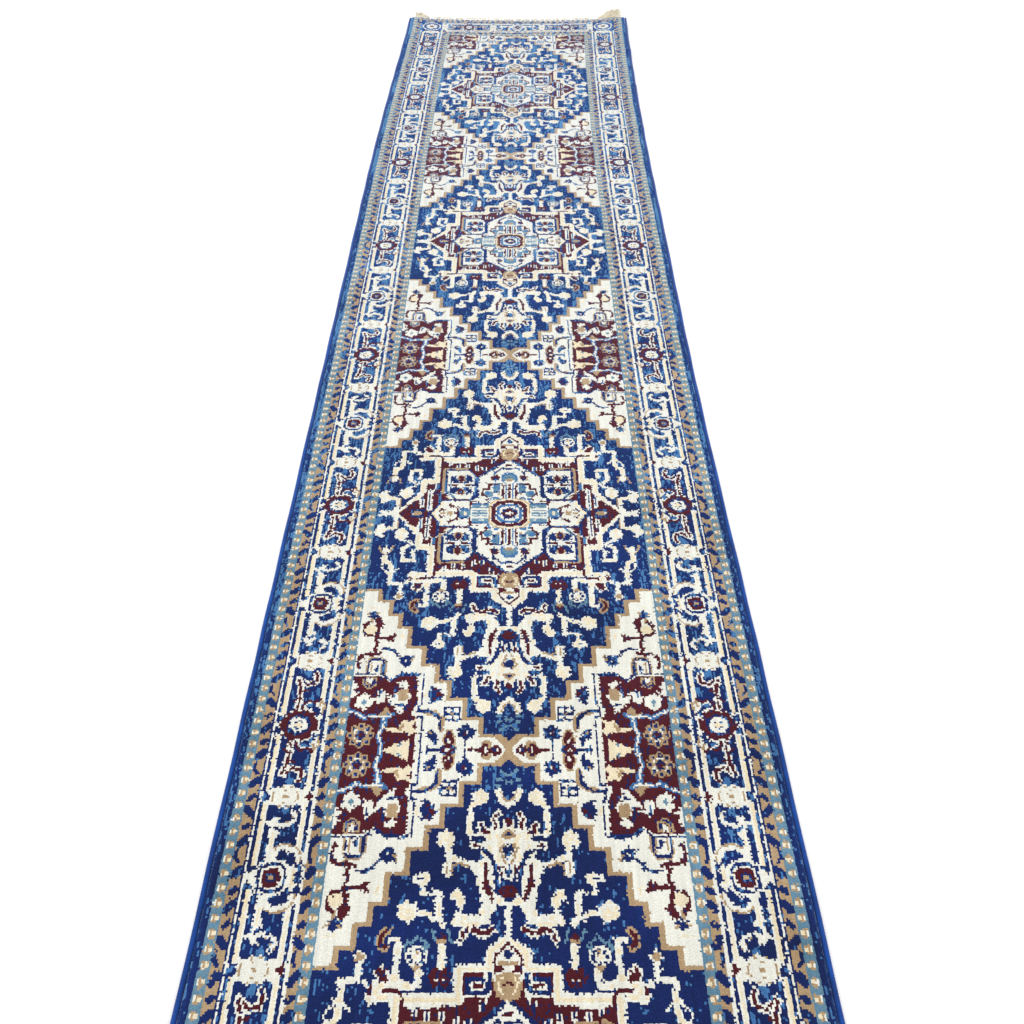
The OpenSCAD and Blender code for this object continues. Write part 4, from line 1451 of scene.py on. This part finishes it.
# --- Floor, light and camera --------------------------------------------------
FLOOR_REACH = 9.0       # from the middle of the floor to its edges
FLOOR_DROP = 0.0003     # how far it is under the lowest point of the rug
WORLD_LIGHT = 0.85
CAMERA_PLACE = (0.0047, -1.4968, 1.168)
CAMERA_TILT = 48.073    # degrees below the horizon
LENS, SENSOR = 30.27, 36


def add_floor():
    mesh = bpy.data.meshes.new("floor")
    signs = [(-1, -1), (1, -1), (1, 1), (-1, 1)]
    corners = [(x * FLOOR_REACH, y * FLOOR_REACH, -FLOOR_DROP) for x, y in signs]
    mesh.from_pydata(corners, [], [(0, 1, 2, 3)])
    mesh.materials.append(pale_floor())
    floor = bpy.data.objects.new("floor", mesh)
    bpy.context.scene.collection.objects.link(floor)
    return floor


def add_light(name, place, aim, size, power, colour=(1, 1, 1)):
    """A soft rectangular light, pointed at a place."""
    lamp = bpy.data.lights.new(name, "AREA")
    lamp.shape = "RECTANGLE"
    lamp.size, lamp.size_y = size
    lamp.energy = power
    lamp.color = colour
    light = bpy.data.objects.new(name, lamp)
    light.location = place
    bpy.context.scene.collection.objects.link(light)
    direction = np.subtract(aim, place)
    flat = math.hypot(direction[0], direction[1])
    light.rotation_euler = (
        math.atan2(flat, -direction[2]), 0, math.atan2(direction[1], direction[0]) - TURN / 4
    )


def add_world():
    world = bpy.data.worlds.new("studio")
    world.use_nodes = True
    background = world.node_tree.nodes["Background"]
    background.inputs["Color"].default_value = (1, 1, 1, 1)
    background.inputs["Strength"].default_value = WORLD_LIGHT
    bpy.context.scene.world = world


def add_camera():
    """Above the near end, looking along the rug and down."""
    camera = bpy.data.objects.new("camera", bpy.data.cameras.new("camera"))
    camera.location = CAMERA_PLACE
    camera.rotation_euler = (math.radians(90 - CAMERA_TILT), 0, 0)
    camera.data.sensor_width = SENSOR
    camera.data.lens = LENS
    camera.data.clip_start = 0.05
    bpy.context.scene.collection.objects.link(camera)
    bpy.context.scene.camera = camera


floor = add_floor()
add_world()
add_light("overhead", place=(0, 0.3, 3.0), aim=(0, 0.3, 0), size=(3.0, 5.0), power=62)
add_light("far_window", place=(-0.8, 4.6, 2.2), aim=(0, 1.2, 0), size=(3.0, 1.8), power=37,
          colour=(0.93, 0.97, 1))
bpy.context.scene.view_settings.view_transform = "Standard"

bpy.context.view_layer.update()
add_camera()
